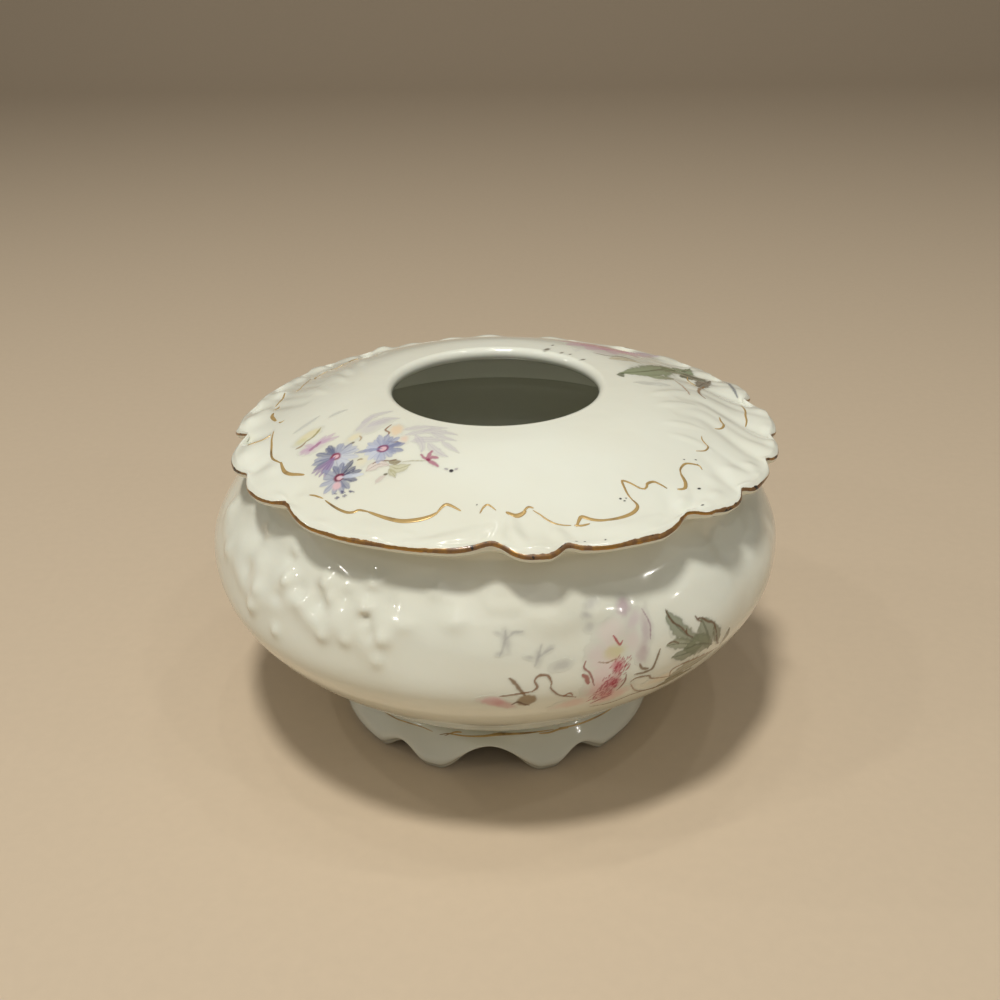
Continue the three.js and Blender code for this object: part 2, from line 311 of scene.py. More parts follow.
# blades laid over the band: the path as azimuth and height, the half-width and the height
bowlRidges = [
    ([(-90, 56), (-84, 52), (-80, 49), (-79, 47)], 2.0, 0.3),
    ([(-78, 54), (-74, 50.7), (-71.3, 48.5), (-69.6, 46.6)], 1.9, 0.4),
    ([(-73, 52.4), (-66, 49.8), (-60.3, 48.9), (-53.3, 48.9), (-47.4, 49.1), (-44, 48.8)], 1.6, 0.6),
    ([(-66, 48.3), (-62, 46.4), (-58.5, 44.5), (-55.6, 43)], 1.6, 0.4),
    ([(-57, 50.2), (-53, 48), (-51.6, 45), (-51.9, 42.5), (-52.5, 40.6)], 1.9, 0.7),
    ([(-47.6, 48.2), (-46.6, 46.4), (-46.8, 44.6)], 1.1, 0.35),
    ([(-63, 53.6), (-55.6, 53.2), (-48.5, 53.6), (-44, 53.2), (-40.9, 52.5), (-37.6, 51.8)], 0.9, 0.4),
    ([(-49, 53.2), (-46.8, 51), (-45, 49.2)], 1.1, 0.5),
    ([(-43.6, 51.8), (-42, 50.6), (-41.2, 49)], 0.9, 0.35),
    ([(-46, 48.3), (-43.2, 46.8), (-39.4, 46.2), (-35.7, 44.5), (-32.5, 42.2)], 1.8, 0.9),
    ([(-38.6, 50.6), (-37.4, 48.9), (-36.8, 47)], 1.0, 0.4),
    ([(-35.4, 46.2), (-33, 44.6), (-31, 42.9)], 0.8, 0.45),
    ([(-32.8, 49.2), (-31.1, 46.2), (-28.8, 44.2), (-27.4, 42.3)], 1.0, 0.9),
    ([(-28.9, 47.4), (-28.2, 45.6), (-27, 44.4)], 0.7, 0.4),
    ([(-25.4, 50.2), (-25.7, 48.4), (-26.4, 46.4), (-26.5, 44.2)], 0.9, 0.7),
    ([(-26.4, 46), (-25, 44), (-23.3, 42.3), (-22, 41.2), (-20.7, 39.9)], 1.1, 0.95),
    ([(-23.6, 51), (-22.4, 48.7), (-21.5, 46.2), (-20.2, 44.3)], 1.5, 0.5),
    ([(-37.4, 51.3), (-34.5, 51), (-30.6, 50.9), (-27.2, 51.8), (-24.4, 52.5), (-19.8, 52.7)], 1.0, 0.5),
    ([(-21, 52.6), (-16, 52.3), (-12, 52.5), (-6, 52.5), (-2, 52.8)], 0.9, 0.35),
    ([(-21, 45.8), (-17, 47.4), (-14.2, 48.5), (-11.7, 49.8)], 1.5, 0.4),
    ([(-12.3, 52.2), (-9, 51), (-7.6, 48.6)], 1.6, 0.4),
    ([(-9, 52), (-2, 52.4), (4, 51.7), (10, 52.6)], 1.0, 0.3),
    ([(27, 44.5), (33, 47.6), (43, 50.8), (50, 49)], 2.2, 0.4),
    ([(-46.6, 40.9), (-45, 40.2), (-44.1, 39)], 0.7, 0.5),
]
# creases pressed between the blades
bowlGrooves = [
    ([(-60, 52), (-58, 50.6), (-54, 50.6)], 0.9, 0.35),
    ([(-59.5, 47.5), (-57, 45.6), (-55, 43.6)], 0.8, 0.35),
    ([(-49.4, 47.8), (-48.8, 45), (-48.2, 42.6)], 0.8, 0.35),
    ([(-43.4, 45.6), (-40, 45), (-37, 43.6)], 0.6, 0.3),
    ([(-30.4, 48.4), (-29, 46.4), (-27.6, 45.2)], 0.7, 0.45),
    ([(-24.4, 46.4), (-23.2, 44.6), (-21.9, 42.9)], 0.7, 0.45),
    ([(-20.8, 50.6), (-19.4, 48.2), (-18.6, 46)], 0.9, 0.3),
    ([(-15, 50.6), (-12, 48), (-9.6, 46)], 1.1, 0.25),
    ([(15.6, 52.2), (16.6, 49.6), (16.9, 47), (18.2, 44.2)], 1.0, 0.5),
    ([(23, 51), (25.4, 48.6), (26.6, 45), (26.8, 41)], 1.6, 0.35),
    ([(51.5, 52.5), (52, 49), (55, 44), (56.5, 40)], 1.8, 0.7),
]
# rounded swellings: azimuth, height, half-width in degrees, half-height and how far they stand out
bowlPuffs = [
    (-90, 47.5, 22, 12, 2.0),
    (-70, 49, 10, 8.0, 0.3),
    (-13, 48.5, 9, 4.6, 0.45),
    (-3, 47.5, 9, 5.5, 0.4),
    (1.5, 51.5, 5, 2.0, 0.4),
    (11.5, 49.8, 5.6, 3.6, 0.9),
    (21.5, 47.4, 4.2, 4.0, 0.6),
    (42.5, 44.2, 12, 7.4, 1.4),
    (64, 45, 8.5, 7.0, 1.1),
]
# small knobs at the roots and tips of the blades, and the pits between them
bowlKnobs = [
    (-74.9, 50.8, 1.8, 1.6, 0.5),
    (-66.9, 46, 1.8, 1.7, 0.4),
    (-55.6, 53.2, 1.3, 0.9, 0.35),
    (-52.3, 41.1, 1.4, 1.2, 0.55),
    (-51.4, 44.9, 1.3, 1.2, 0.35),
    (-45.1, 53, 1.4, 1.0, 0.4),
    (-44.4, 39.5, 0.9, 0.9, 0.5),
    (-43.9, 48.9, 1.4, 1.1, 0.8),
    (-39.2, 46.6, 1.3, 0.9, 0.3),
    (-34.5, 50.9, 1.8, 1.3, 0.9),
    (-32.5, 42.7, 1.0, 1.0, 0.45),
    (-32.6, 48.8, 1.2, 1.0, 0.5),
    (-27.6, 43.1, 0.9, 0.9, 0.4),
    (-24.8, 49, 1.4, 1.2, 0.7),
    (-24.4, 52.5, 1.7, 1.1, 0.7),
    (-21.1, 41, 0.9, 1.0, 0.4),
    (-20.5, 44.8, 1.4, 1.2, 0.55),
    (-16.8, 47.4, 1.6, 1.0, 0.25),
    (-12.1, 52.4, 1.6, 1.0, 0.35),
    (-7.8, 48.9, 2.0, 1.4, 0.4),
    (-1.4, 56.2, 2.4, 1.0, 0.45),
    (18.8, 49.1, 1.8, 1.5, 0.35),
    (-58, 51.3, 2.0, 1.1, -0.3),
    (-57, 46, 1.5, 1.7, -0.3),
    (-45.6, 51.5, 1.3, 1.0, -0.35),
    (-45.4, 45.4, 1.6, 1.0, -0.35),
    (-40.4, 48.2, 1.7, 1.2, -0.45),
    (-36, 49.2, 1.1, 0.9, -0.3),
    (-34.6, 47.2, 1.8, 1.5, -0.7),
    (-29.6, 49.2, 1.4, 1.0, -0.4),
    (-24.4, 47.2, 0.9, 0.8, -0.7),
    (-22.9, 45.2, 0.9, 0.9, -0.35),
    (-20.1, 49.6, 1.3, 1.2, -0.3),
]

bowlRelief = ReliefMap(low=30, high=60, step=0.2, beltRadius=52, copies=2)
bowlRelief.addBand(bandLower, bandUpper, bandThick, crisp=2.6, soft=2.6)
for path, width, height in bowlRidges:
    bowlRelief.addRidge(path, bowl["bladeWidth"] * width, bowl["bladeHeight"] * height)
for path, width, depth in bowlGrooves:
    bowlRelief.addGroove(path, width, depth)
bowlRelief.soften(bowl["foldSoftening"])
for at, up, halfWidth, halfHeight, height in bowlPuffs:
    bowlRelief.addPuff(at, up, halfWidth, halfHeight, height)
for at, up, halfWidth, halfHeight, height in bowlKnobs:
    wide = bowl["knobSize"] * halfWidth
    tall = bowl["knobSize"] * halfHeight
    bowlRelief.addPuff(at, up, wide, tall, bowl["knobHeight"] * height, crisp=1)
fade = 1 - ease(bowl["reliefTop"] * bowl["neckHeight"], bowl["neckHeight"], bowlRelief.across)
bowlRelief.height *= (fade * ease(*bowl["reliefFoot"], bowlRelief.across))[None, :]
bowlRelief.soften(bowl["softening"])


def bellyOutline():
    size = bowl
    rise = size["neckHeight"] - size["footHeight"]
    points = []
    for out, up in bellyShares:
        radius = size["footWaist"] + out * (size["radius"] - size["footWaist"])
        points.append((radius, size["footHeight"] + up * rise))
    for out, up in shoulderShares:
        radius = size["neckRadius"] + out * (size["radius"] - size["neckRadius"])
        points.append((radius, size["footHeight"] + up * rise))
    return smoothCurve(points, size["bellyPoints"])


belly = bellyOutline()


def bellyLean(height):
    # how far the foot and the belly stand off the axis of the mouth, as the fired shape does
    size = bowl
    change = size["lean"] - size["footLean"]
    low = size["footLean"] + change * ease(size["footHeight"], size["leanFrom"], height)
    return -low * (1 - ease(size["leanEnd"], size["neckHeight"], height))


def bellySurface(azimuth, height, out=0.0):
    # points of the outside of the bowl, relief included
    radius = np.interp(height, belly[:, 1], belly[:, 0])
    radius = radius + bowlRelief.look(azimuth, height) + out
    return onCircle(azimuth, radius, height, bellyLean(height))


def footLift(azimuth):
    # how high the foot's edge rises, and how far it is drawn in
    size = bowl
    fromArch = azimuthFrom(size["archAt"], azimuth, size["arches"])
    tall = np.clip(1 - (fromArch / size["archReach"]) ** 2, 0, 1) ** 2
    low = np.clip(1 - ((np.abs(fromArch) - size["notchOffset"]) / size["notchReach"]) ** 2, 0, 1) ** 2
    lift = np.maximum(size["archRise"] * tall, size["notchRise"] * low)
    return lift, np.maximum(size["archPinch"] * tall, size["notchPinch"] * low)


def stretch(points, zone):
    # a stretch of an outline, each point marked with the zone it belongs to
    return [(radius, height, zone) for radius, height in points]


def line(start, end, count):
    # evenly spaced points from start up to, but without, the end
    return [tuple(np.array(start) + (np.array(end) - np.array(start)) * i / count) for i in range(count)]


def footOutside():
    # the outside of the foot from its edge up to the belly
    size = bowl
    points = [(size["footRadius"], size["footRound"])]
    for out, up in lobeShares:
        radius = size["footWaist"] + out * (size["footBulge"] - size["footWaist"])
        points.append((radius, up * size["footHeight"]))
    return smoothCurve(points, size["footSteps"])


def bowlOutline():
    size = bowl
    floor = size["recessDepth"] + size["wall"]
    insideTop = size["footWaist"] - size["footWall"]
    insideFoot = size["footRadius"] - size["footWall"]
    mouthFoot = size["height"] - size["flangeDepth"] - size["hollowGap"]
    neck = size["neckRadius"]
    mouth = size["mouthRadius"]
    top = size["height"]
    soft = size["mouthRound"]
    step = size["mouthRoundStep"]
    edgeStep = size["footRoundStep"]
    hollow = [p for p in besideCurve(belly, size["wall"]) if floor < p[1] < mouthFoot]
    hollow = hollow[:: -size["hollowStride"]]
    inside = hollow[-1][0] * size["floorShare"]
    recess = line((insideTop, size["recessDepth"]), (insideFoot, size["footRound"]), size["recessSteps"])
    recess += [(insideFoot, size["footRound"]), (insideFoot + edgeStep, edgeStep)]
    recess += [(insideFoot + size["footRound"], 0)]
    foot = [(size["footRadius"] - size["footRound"], 0), (size["footRadius"] - edgeStep, edgeStep)]
    rim = line((neck, size["neckHeight"] + size["neckStart"]), (neck, top - soft), size["neckSteps"])
    rim += [(neck, top - soft), (neck - step, top - step), (neck - soft, top)]
    rim += [(mouth + soft, top), (mouth + step, top - step), (mouth, top - soft), (mouth, mouthFoot)]
    return (
        stretch([(0, size["recessDepth"])], "still")
        + stretch(recess, "recess")
        + stretch(foot + list(footOutside()[:-1]), "foot")
        + stretch(belly, "belly")
        + stretch(rim, "still")
        + stretch(hollow, "inside")
        + stretch([(inside, floor), (inside / 2, floor), (0, floor)], "inside")
    )


zones = ["still", "recess", "foot", "belly", "inside", "crown", "edge"]


def turnedMesh(name, outline, sectors, sectorSteps):
    # turns an outline of (radius, height, zone) through one sector, and repeats the sector round the axis
    bm = bmesh.new()
    zoneLayer = bm.verts.layers.int.new("zone")
    verts = []
    for radius, height, zone in outline:
        vert = bm.verts.new((0, -radius, height))
        vert[zoneLayer] = zones.index(zone)
        verts.append(vert)
    edges = [bm.edges.new(pair) for pair in zip(verts, verts[1:])]
    sector = math.radians(fullTurn / sectors)
    bmesh.ops.spin(bm, geom=verts + edges, axis=(0, 0, 1), angle=sector, steps=sectorSteps)
    bmesh.ops.spin(
        bm,
        geom=bm.verts[:] + bm.edges[:] + bm.faces[:],
        axis=(0, 0, 1),
        angle=sector * (sectors - 1),
        steps=sectors - 1,
        use_duplicate=True,
    )
    bmesh.ops.remove_doubles(bm, verts=bm.verts, dist=1e-3)
    bmesh.ops.recalc_face_normals(bm, faces=bm.faces)
    return meshFrom(bm, name)


def readPoints(mesh):
    points = vertexPlaces(mesh)
    zone = np.zeros(len(points), np.int32)
    mesh.attributes["zone"].data.foreach_get("value", zone)
    radius = np.hypot(points[:, 0], points[:, 1])
    azimuth = np.degrees(np.arctan2(points[:, 0], -points[:, 1]))
    return azimuth, radius, points[:, 2].copy(), zone


def markInner(mesh, zone):
    # the hollow of a piece is marked for a darker glaze colour, which is painted shade
    storeValues(mesh, "inner", zone == zones.index("inside"))


def addObject(name, mesh, material):
    for polygon in mesh.polygons:
        polygon.use_smooth = True
    mesh.materials.append(material)
    piece = bpy.data.objects.new(name, mesh)
    bpy.context.scene.collection.objects.link(piece)
    return piece


def finishPiece(mesh, name, body, material):
    piece = addObject(name, mesh, material)
    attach(piece, body)
    return piece


def buildBowl(material):
    mesh = turnedMesh("bowlPorcelain", bowlOutline(), bowl["sectors"], bowl["sectorSteps"])
    azimuth, radius, height, zone = readPoints(mesh)
    lift, pinch = footLift(azimuth)
    onFoot = zone == zones.index("foot")
    inRecess = zone == zones.index("recess")
    fade = np.clip(1 - height / bowl["footHeight"], 0, 1) * onFoot
    fade = fade + np.clip(1 - height / bowl["recessDepth"], 0, 1) * inRecess
    onBelly = zone == zones.index("belly")
    radius = radius - pinch * fade + bowlRelief.look(azimuth, height) * onBelly
    inside = zone == zones.index("inside")
    aside = bellyLean(height) * (onBelly | inside | onFoot | inRecess)
    height = height + lift * fade
    moveVertices(mesh, onCircle(azimuth, radius, height, aside))
    markInner(mesh, zone)
    piece = finishPiece(mesh, "bowlPorcelain", "bowl", material)
    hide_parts("bowl")
    print("bowl built:", len(mesh.polygons), "faces")


# Lid

lid = {
    "radius": 52.9,
    "rise": 8.6,
    "wall": 2.8,
    "edgeThickness": 1.8,
    "edgeLift": 1.4,
    "holeRadius": 20.0,
    "flangeDepth": 4.6,
    "flangeWall": 2.6,
    "flangeRound": 0.6,
    "flangeRoundStep": 0.2,
    "flangeClearance": 0.8,
    "seatGap": 0.3,
    "seatRound": 0.3,
    "scallopDepth": 1.9,
    "scallopLift": 1.0,
    "seatRunShare": 0.35,
    "rimShift": 1.4,
    "notchRound": 0.12,
    "sectors": 20,
    "sectorSteps": 33,
    "crownPoints": 96,
    "lipSteps": 12,
    "topGap": 0.2,
    "insideGap": 1.4,
    "insideStride": 3,
    "softening": 0.25,
}
lid["edgeTop"] = bowl["height"] + lid["edgeLift"]
lid["seatHeight"] = bowl["height"] + lid["seatGap"]
lid["seatEnd"] = bowl["neckRadius"] + (lid["radius"] - bowl["neckRadius"]) * lid["seatRunShare"]

# the nose of the lid's edge, from its underside round to the top, in shares of its thickness
noseShares = [(-0.85, -1), (-0.45, -0.97), (-0.18, -0.83), (-0.03, -0.6), (0, -0.42), (-0.05, -0.22)]
noseShares += [(-0.15, -0.08), (-0.3, 0)]

crownShares = [(0, 0), (0.08, 0.05), (0.2, 0.2), (0.4, 0.5), (0.6, 0.76), (0.8, 0.94), (1, 1)]

# notches between the scallops: azimuth, reach in degrees, share of the deepest
lidNotches = [
    (-162, 11, 0.8),
    (-152, 4, 0.5),
    (-144, 7, 0.8),
    (-132, 4, 0.6),
    (-124, 5, 0.3),
    (-114, 7, 0.4),
    (-101, 7, 0.7),
    (-91, 8, 0.3),
    (-82.3, 8, 1.75),
    (-64.6, 6, 0.75),
    (-47.3, 9, 0.95),
    (36.8, 9, 1.25),
    (42.2, 4, 0.45),
    (53, 4, 0.75),
    (68.6, 4.5, 0.75),
    (81.4, 4, 0.5),
    (99.4, 6, 1.4),
    (115.5, 6, 0.9),
    (127, 6, 0.8),
    (146, 8, 1.0),
    (161, 5, 0.6),
    (171, 5, 0.7),
]
# the uneven front of the rim, where the scallops run together: azimuth and share of the deepest
frontRim = [(-40, 0), (-31, 0.04), (-22, 0.25), (-17, 0.33), (-11.6, 0.45), (-8.7, 0.56), (-6, 0.86)]
frontRim += [(-4.3, 1.16), (-2.6, 1.3), (-1, 1.02), (0.4, 0.6), (1.8, 0.26), (3.4, 0.04), (5, 0)]
frontRim += [(7.4, 0.02), (8.9, 0.3), (10.5, 0.76), (12, 0.68), (13.6, 0.42), (17.8, 0.2)]
frontRim += [(24.6, 0.12), (31, 0)]
# The lid's shallow flutes start at the rim: azimuth, width, depth. Those of the two ends bend
# back on their way inwards, as on a shell.
rightFlutes = [(68.6, 1.7, 0.5), (75, 1.1, 0.2), (81.4, 1.7, 0.55), (90.5, 1.2, 0.2), (99.4, 1.9, 0.7)]
rightFlutes += [(107.5, 1.1, 0.2), (115.5, 1.6, 0.5), (121, 1.1, 0.25), (127, 1.4, 0.4), (137, 1.1, 0.25)]
leftFlutes = [(-101, 1.6, 0.6), (-107, 1.0, 0.25), (-114, 1.4, 0.45), (-119, 1.0, 0.25)]
leftFlutes += [(-124, 1.2, 0.35), (-132, 1.5, 0.5), (-144, 1.6, 0.5), (-152, 1.2, 0.35), (-162, 1.8, 0.5)]
straightFlutes = [
    ([(52, 53), (53, 48), (57, 42)], 1.2, 0.3),
    ([(59, 53), (61, 47), (63, 42)], 1.0, 0.25),
    ([(36.5, 53), (36.5, 48), (38, 44)], 1.8, 0.45),
    ([(10.8, 53), (12, 48), (13.4, 45)], 1.1, 0.35),
    ([(-2.6, 53), (-2.6, 48.5), (-2.2, 45.4)], 1.7, 0.7),
    ([(-47.3, 53), (-47.3, 48), (-48, 45)], 1.8, 0.5),
    ([(-64.6, 53), (-65, 48.5), (-67, 45)], 1.4, 0.4),
    ([(-82.3, 53), (-80, 48), (-78, 44.5)], 1.8, 1.0),
    ([(171, 53), (171, 48), (169, 43)], 1.3, 0.4),
    ([(161, 53), (161, 48), (159, 43)], 1.2, 0.35),
    ([(146, 53), (146, 48), (144, 42)], 1.8, 0.6),
]
# low folds of the lid: the path, the half-width and the height
lidFolds = [
    ([(-17, 51.4), (-12.3, 50.2), (-7, 48.4), (-2.9, 46.4)], 1.7, 0.55),
    ([(3.4, 51.8), (1.4, 48.4), (1.2, 44.6)], 1.5, 0.6),
    ([(8, 47), (10.5, 49.4), (11, 52)], 1.4, 0.4),
    ([(-31, 48.6), (-24, 49.6), (-18, 49.4)], 1.8, 0.25),
    ([(17, 48.8), (24, 49.8), (31, 49)], 1.6, 0.3),
    ([(33, 50.5), (38, 48), (42, 46.4)], 1.4, 0.35),
    ([(72, 31), (79, 34.4), (83, 37.6)], 1.2, 0.25),
    ([(80, 29.5), (88, 33.4), (93, 37)], 1.2, 0.25),
    ([(90, 30), (98, 33.6), (103, 37)], 1.2, 0.25),
    ([(62, 34), (67, 37), (69, 40)], 1.1, 0.2),
    ([(57, 36), (60.4, 39.4), (61, 43)], 1.1, 0.2),
    ([(-97, 29.5), (-105, 33), (-112, 37)], 1.3, 0.28),
    ([(-106, 30), (-114, 34), (-121, 38.5)], 1.3, 0.28),
    ([(-117, 31), (-125, 35), (-131, 39)], 1.3, 0.25),
    ([(-90, 33), (-97, 36.5), (-104, 40)], 1.3, 0.22),
    ([(-130, 32), (-138, 36), (-144, 40)], 1.3, 0.22),
]
# low swellings of the lid's border: azimuth, radius, half-width in degrees and in radius, height
lidPuffs = [
    (-24, 50.5, 14, 2.2, 0.3),
    (24, 50, 9, 2.4, 0.35),
    (5.5, 51, 4.5, 2.4, 0.7),
    (45, 50, 5, 2.6, 0.5),
    (58.5, 50, 4, 2.8, 0.5),
    (73, 50, 4.5, 3, 0.55),
    (90.5, 50, 6, 3.2, 0.8),
    (107.5, 50, 5.4, 3.2, 1.0),
    (121, 50, 4, 2.6, 0.7),
    (134, 50.4, 4.4, 2.4, 0.7),
    (-56, 50, 6, 2.6, 0.5),
    (-74, 49.5, 5, 3, 0.8),
    (-92, 49.5, 5, 3.0, 0.9),
    (-107, 49.5, 4, 3, 0.6),
    (-119, 50, 3.4, 2.4, 0.6),
    (-128, 50.2, 3.2, 2.4, 0.9),
    (-138, 50.4, 3.4, 2.2, 0.6),
    (-148, 50.6, 3.4, 2.2, 1.1),
    (-156, 50.6, 3.2, 2.2, 0.7),
    (183, 50.8, 5, 2.4, 1.1),
    (166.5, 50.8, 4, 2.2, 0.8),
    (-167, 50.8, 4.4, 2.2, 0.8),
    (-49.4, 50.6, 2.6, 1.4, 0.45),
    (-46.5, 48.4, 1.6, 1.1, 0.3),
    (-36.2, 51.6, 2.4, 1.1, 0.3),
    (-24.4, 51.9, 3.0, 1.0, 0.25),
    (-71.5, 50.6, 2.4, 1.5, 0.45),
    (-61, 47.6, 2.2, 1.5, 0.3),
    (-90, 50, 2.2, 1.6, 0.45),
    (-96.5, 47.4, 2.2, 1.4, 0.35),
    (-106.8, 47.9, 2.0, 1.3, 0.3),
    (5.6, 52.2, 3.2, 0.9, 0.35),
    (0.6, 48.2, 1.5, 1.6, 0.35),
    (28.5, 51.8, 3.0, 1.0, 0.35),
    (38, 48, 1.8, 1.3, 0.4),
    (41.4, 50.6, 2.0, 1.2, 0.4),
    (46, 49.8, 2.0, 1.2, 0.3),
    (50, 46.8, 1.8, 1.4, 0.25),
    (55.2, 52, 1.8, 1.0, 0.4),
    (57, 47.5, 1.8, 1.3, 0.35),
    (60, 51.4, 1.5, 1.0, 0.35),
    (63, 49.8, 1.5, 1.3, 0.35),
    (77, 51.6, 2.2, 1.2, 0.4),
    (84, 51.6, 2.2, 1.2, 0.35),
    (93, 51.4, 2.2, 1.3, 0.4),
    (101, 51.4, 2.2, 1.3, 0.4),
]


def curvedFlute(azimuth, bends):
    # a flute's path from the rim inwards, with how many degrees it is turned at each radius
    return [(azimuth + turn, radius) for radius, turn in bends]


rightBends = [(53, 0), (48, 0.5), (43, 4), (39, 7), (34.5, 3)]
leftBends = [(53, 0), (47.5, 3), (42.5, 7), (37, 13)]

lidRelief = ReliefMap(low=18, high=56, step=0.22, beltRadius=45, copies=1)
for at, width, depth in rightFlutes:
    lidRelief.addGroove(curvedFlute(at, rightBends), width, depth)
for at, width, depth in leftFlutes:
    lidRelief.addGroove(curvedFlute(at, leftBends), width, depth)
for path, width, depth in straightFlutes:
    lidRelief.addGroove(path, width, depth)
for path, width, height in lidFolds:
    lidRelief.addRidge(path, width, height)
for at, across, halfWidth, halfRadius, height in lidPuffs:
    lidRelief.addPuff(at, across, halfWidth, halfRadius, height, crisp=1)
lidRelief.soften(lid["softening"])


frontCurve = smoothCurve(frontRim, 240).T


def notchDepth(azimuth):
    depth = np.interp(azimuthFrom(0, azimuth, 1), frontCurve[0], frontCurve[1]).clip(0)
    blunt = lid["notchRound"]
    for at, reach, deep in lidNotches:
        distance = np.hypot(azimuthFrom(at, azimuth, 1) / reach, blunt)
        depth = np.maximum(depth, deep * np.clip(1 + blunt - distance, 0, 1) ** 2)
    return depth


def crownOutline():
    size = lid
    lipOutside = size["holeRadius"] + size["wall"] / 2
    points = [
        (size["radius"] - inwards * (size["radius"] - lipOutside), size["edgeTop"] + up * size["rise"])
        for inwards, up in crownShares
    ]
    return smoothCurve(points, size["crownPoints"])


crown = crownOutline()

# the boldest lobes of the rim: azimuth, reach in degrees and how far they stand out
rimLobes = [(107.5, 6, 0.8), (90.5, 7, 0.75), (75, 6, 0.3), (-148, 5, 0.5), (-128, 4, 0.4)]


def lobeReach(azimuth):
    out = np.zeros(np.shape(azimuth))
    for at, reach, far in rimLobes:
        out = np.maximum(out, far * np.clip(1 - (azimuthFrom(at, azimuth, 1) / reach) ** 2, 0, 1))
    return out


def rimShift(radius):
    # the scalloped rim was cut a little off the axis of the hole
    return lid["rimShift"] * ease(lid["holeRadius"] + lid["wall"], lid["radius"], radius)


def crownSurface(azimuth, radius, out=0.0):
    # points of the lid's upper side, by the radius that they have before the scallops draw them in
    size = lid
    height = np.interp(radius, crown[::-1, 0], crown[::-1, 1])
    notch = notchDepth(azimuth) * ease(size["seatEnd"], size["radius"], radius)
    height = height + size["scallopLift"] * notch + lidRelief.look(azimuth, radius) + out
    aside = rimShift(radius)
    lobes = lobeReach(azimuth) * ease(size["seatEnd"], size["radius"], radius)
    radius = radius - size["scallopDepth"] * notch + lobes
    return onCircle(azimuth, radius, height, aside)


def lidOutline():
    size = lid
    flangeRadius = bowl["mouthRadius"] - size["flangeClearance"]
    flangeInside = flangeRadius - size["flangeWall"]
    flangeFoot = size["seatHeight"] - size["flangeDepth"]
    lipRadius = size["wall"] / 2
    lipAngles = np.linspace(0.5 * math.pi, 1.5 * math.pi, size["lipSteps"])[1:-1]
    lip = [
        (
            size["holeRadius"] + lipRadius * (1 + math.cos(angle)),
            size["edgeTop"] + size["rise"] + lipRadius * (math.sin(angle) - 1),
        )
        for angle in lipAngles
    ]
    thick = size["edgeThickness"]
    edge = [(size["radius"] + out * thick, size["edgeTop"] + up * thick) for out, up in noseShares]
    topEnd = size["radius"] + noseShares[-1][0] * thick - size["topGap"]
    top = [p for p in crown if p[0] < topEnd]
    insideEnd = flangeInside - size["insideGap"]
    underside = [p for p in besideCurve(crown, size["wall"]) if p[0] < insideEnd]
    underside = underside[:: -size["insideStride"]]
    soft = size["flangeRound"]
    step = size["flangeRoundStep"]
    seat = size["seatHeight"]
    start = (flangeInside, flangeFoot + soft)
    flange = [start, (flangeInside + step, flangeFoot + step), (flangeInside + soft, flangeFoot)]
    flange += [(flangeRadius - soft, flangeFoot), (flangeRadius - step, flangeFoot + step)]
    flange += [(flangeRadius, flangeFoot + soft), (flangeRadius, seat - size["seatRound"])]
    flange += [(flangeRadius + size["seatRound"], seat), (size["seatEnd"], seat)]
    return (
        stretch(flange, "still")
        + stretch(edge, "edge")
        + stretch(top, "crown")
        + stretch(lip, "still")
        + stretch(underside, "inside")
        + stretch([start], "still")
    )


# the gilding is drawn from how near it is to the rim, counted up from this far away
rimSpan = 4.0


def buildLid(material):
    size = lid
    mesh = turnedMesh("lidPorcelain", lidOutline(), size["sectors"], size["sectorSteps"])
    azimuth, radius, height, zone = readPoints(mesh)
    onCrown = zone == zones.index("crown")
    onEdge = (zone == zones.index("edge")) | onCrown
    below = np.where(onCrown, radius - size["radius"], size["edgeTop"] - height)
    nearRim = (rimSpan + below).clip(0) * onEdge
    storeValues(mesh, "nearRim", nearRim)
    notch = notchDepth(azimuth) * ease(size["seatEnd"], size["radius"], radius) * onEdge
    height = height + size["scallopLift"] * notch + lidRelief.look(azimuth, radius) * onCrown
    aside = rimShift(radius) * onEdge
    lobes = lobeReach(azimuth) * ease(size["seatEnd"], size["radius"], radius) * onEdge
    radius = radius - size["scallopDepth"] * notch + lobes
    moveVertices(mesh, onCircle(azimuth, radius, height, aside))
    markInner(mesh, zone)
    piece = finishPiece(mesh, "lidPorcelain", "lid", material)
    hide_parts("lid")
    print("lid built:", len(mesh.polygons), "faces")


# Materials

def linear(colour):
    # a colour written as a screen shows it, 0 to 255, as light
    share = np.array(colour, float) / 255
    return np.where(share <= 0.04045, share / 12.92, ((share + 0.055) / 1.055) ** 2.4)


def nodeTools(name):
    # a new material with short ways to add and join its nodes
    material = bpy.data.materials.new(name)
    material.use_nodes = True
    tree = material.node_tree

    def add(kind, settings=None, **inputs):
        node = tree.nodes.new(kind)
        for key, value in (settings or {}).items():
            setattr(node, key, value)
        for key, value in inputs.items():
            socket = node.inputs[int(key[1:])] if key[1:].isdigit() else node.inputs[key]
            if hasattr(value, "is_output"):
                tree.links.new(value, socket)
            else:
                socket.default_value = value
        return node

    return material, tree, tree.nodes["Principled BSDF"], add


def mathNode(add, operation, a, b=0.5, c=0.5, clamp=False):
    settings = {"operation": operation, "use_clamp": clamp}
    return add("ShaderNodeMath", settings, i0=a, i1=b, i2=c).outputs[0]


def noiseNode(add, place, scale, detail):
    return add("ShaderNodeTexNoise", Vector=place, Scale=scale, Detail=detail).outputs["Fac"]


def rangeNode(add, value, low, high):
    # 0 at the low value, 1 at the high one
    return add("ShaderNodeMapRange", {"clamp": True}, Value=value, i1=low, i2=high).outputs[0]


def attributeNode(add, name, output="Fac"):
    return add("ShaderNodeAttribute", {"attribute_name": name}).outputs[output]


def mixColours(add, share, a, b):
    node = add("ShaderNodeMix", {"data_type": "RGBA"}, i0=share, i6=a, i7=b)
    return node.outputs[2]


def screen(*colour):
    return tuple(linear(colour)) + (1.0,)


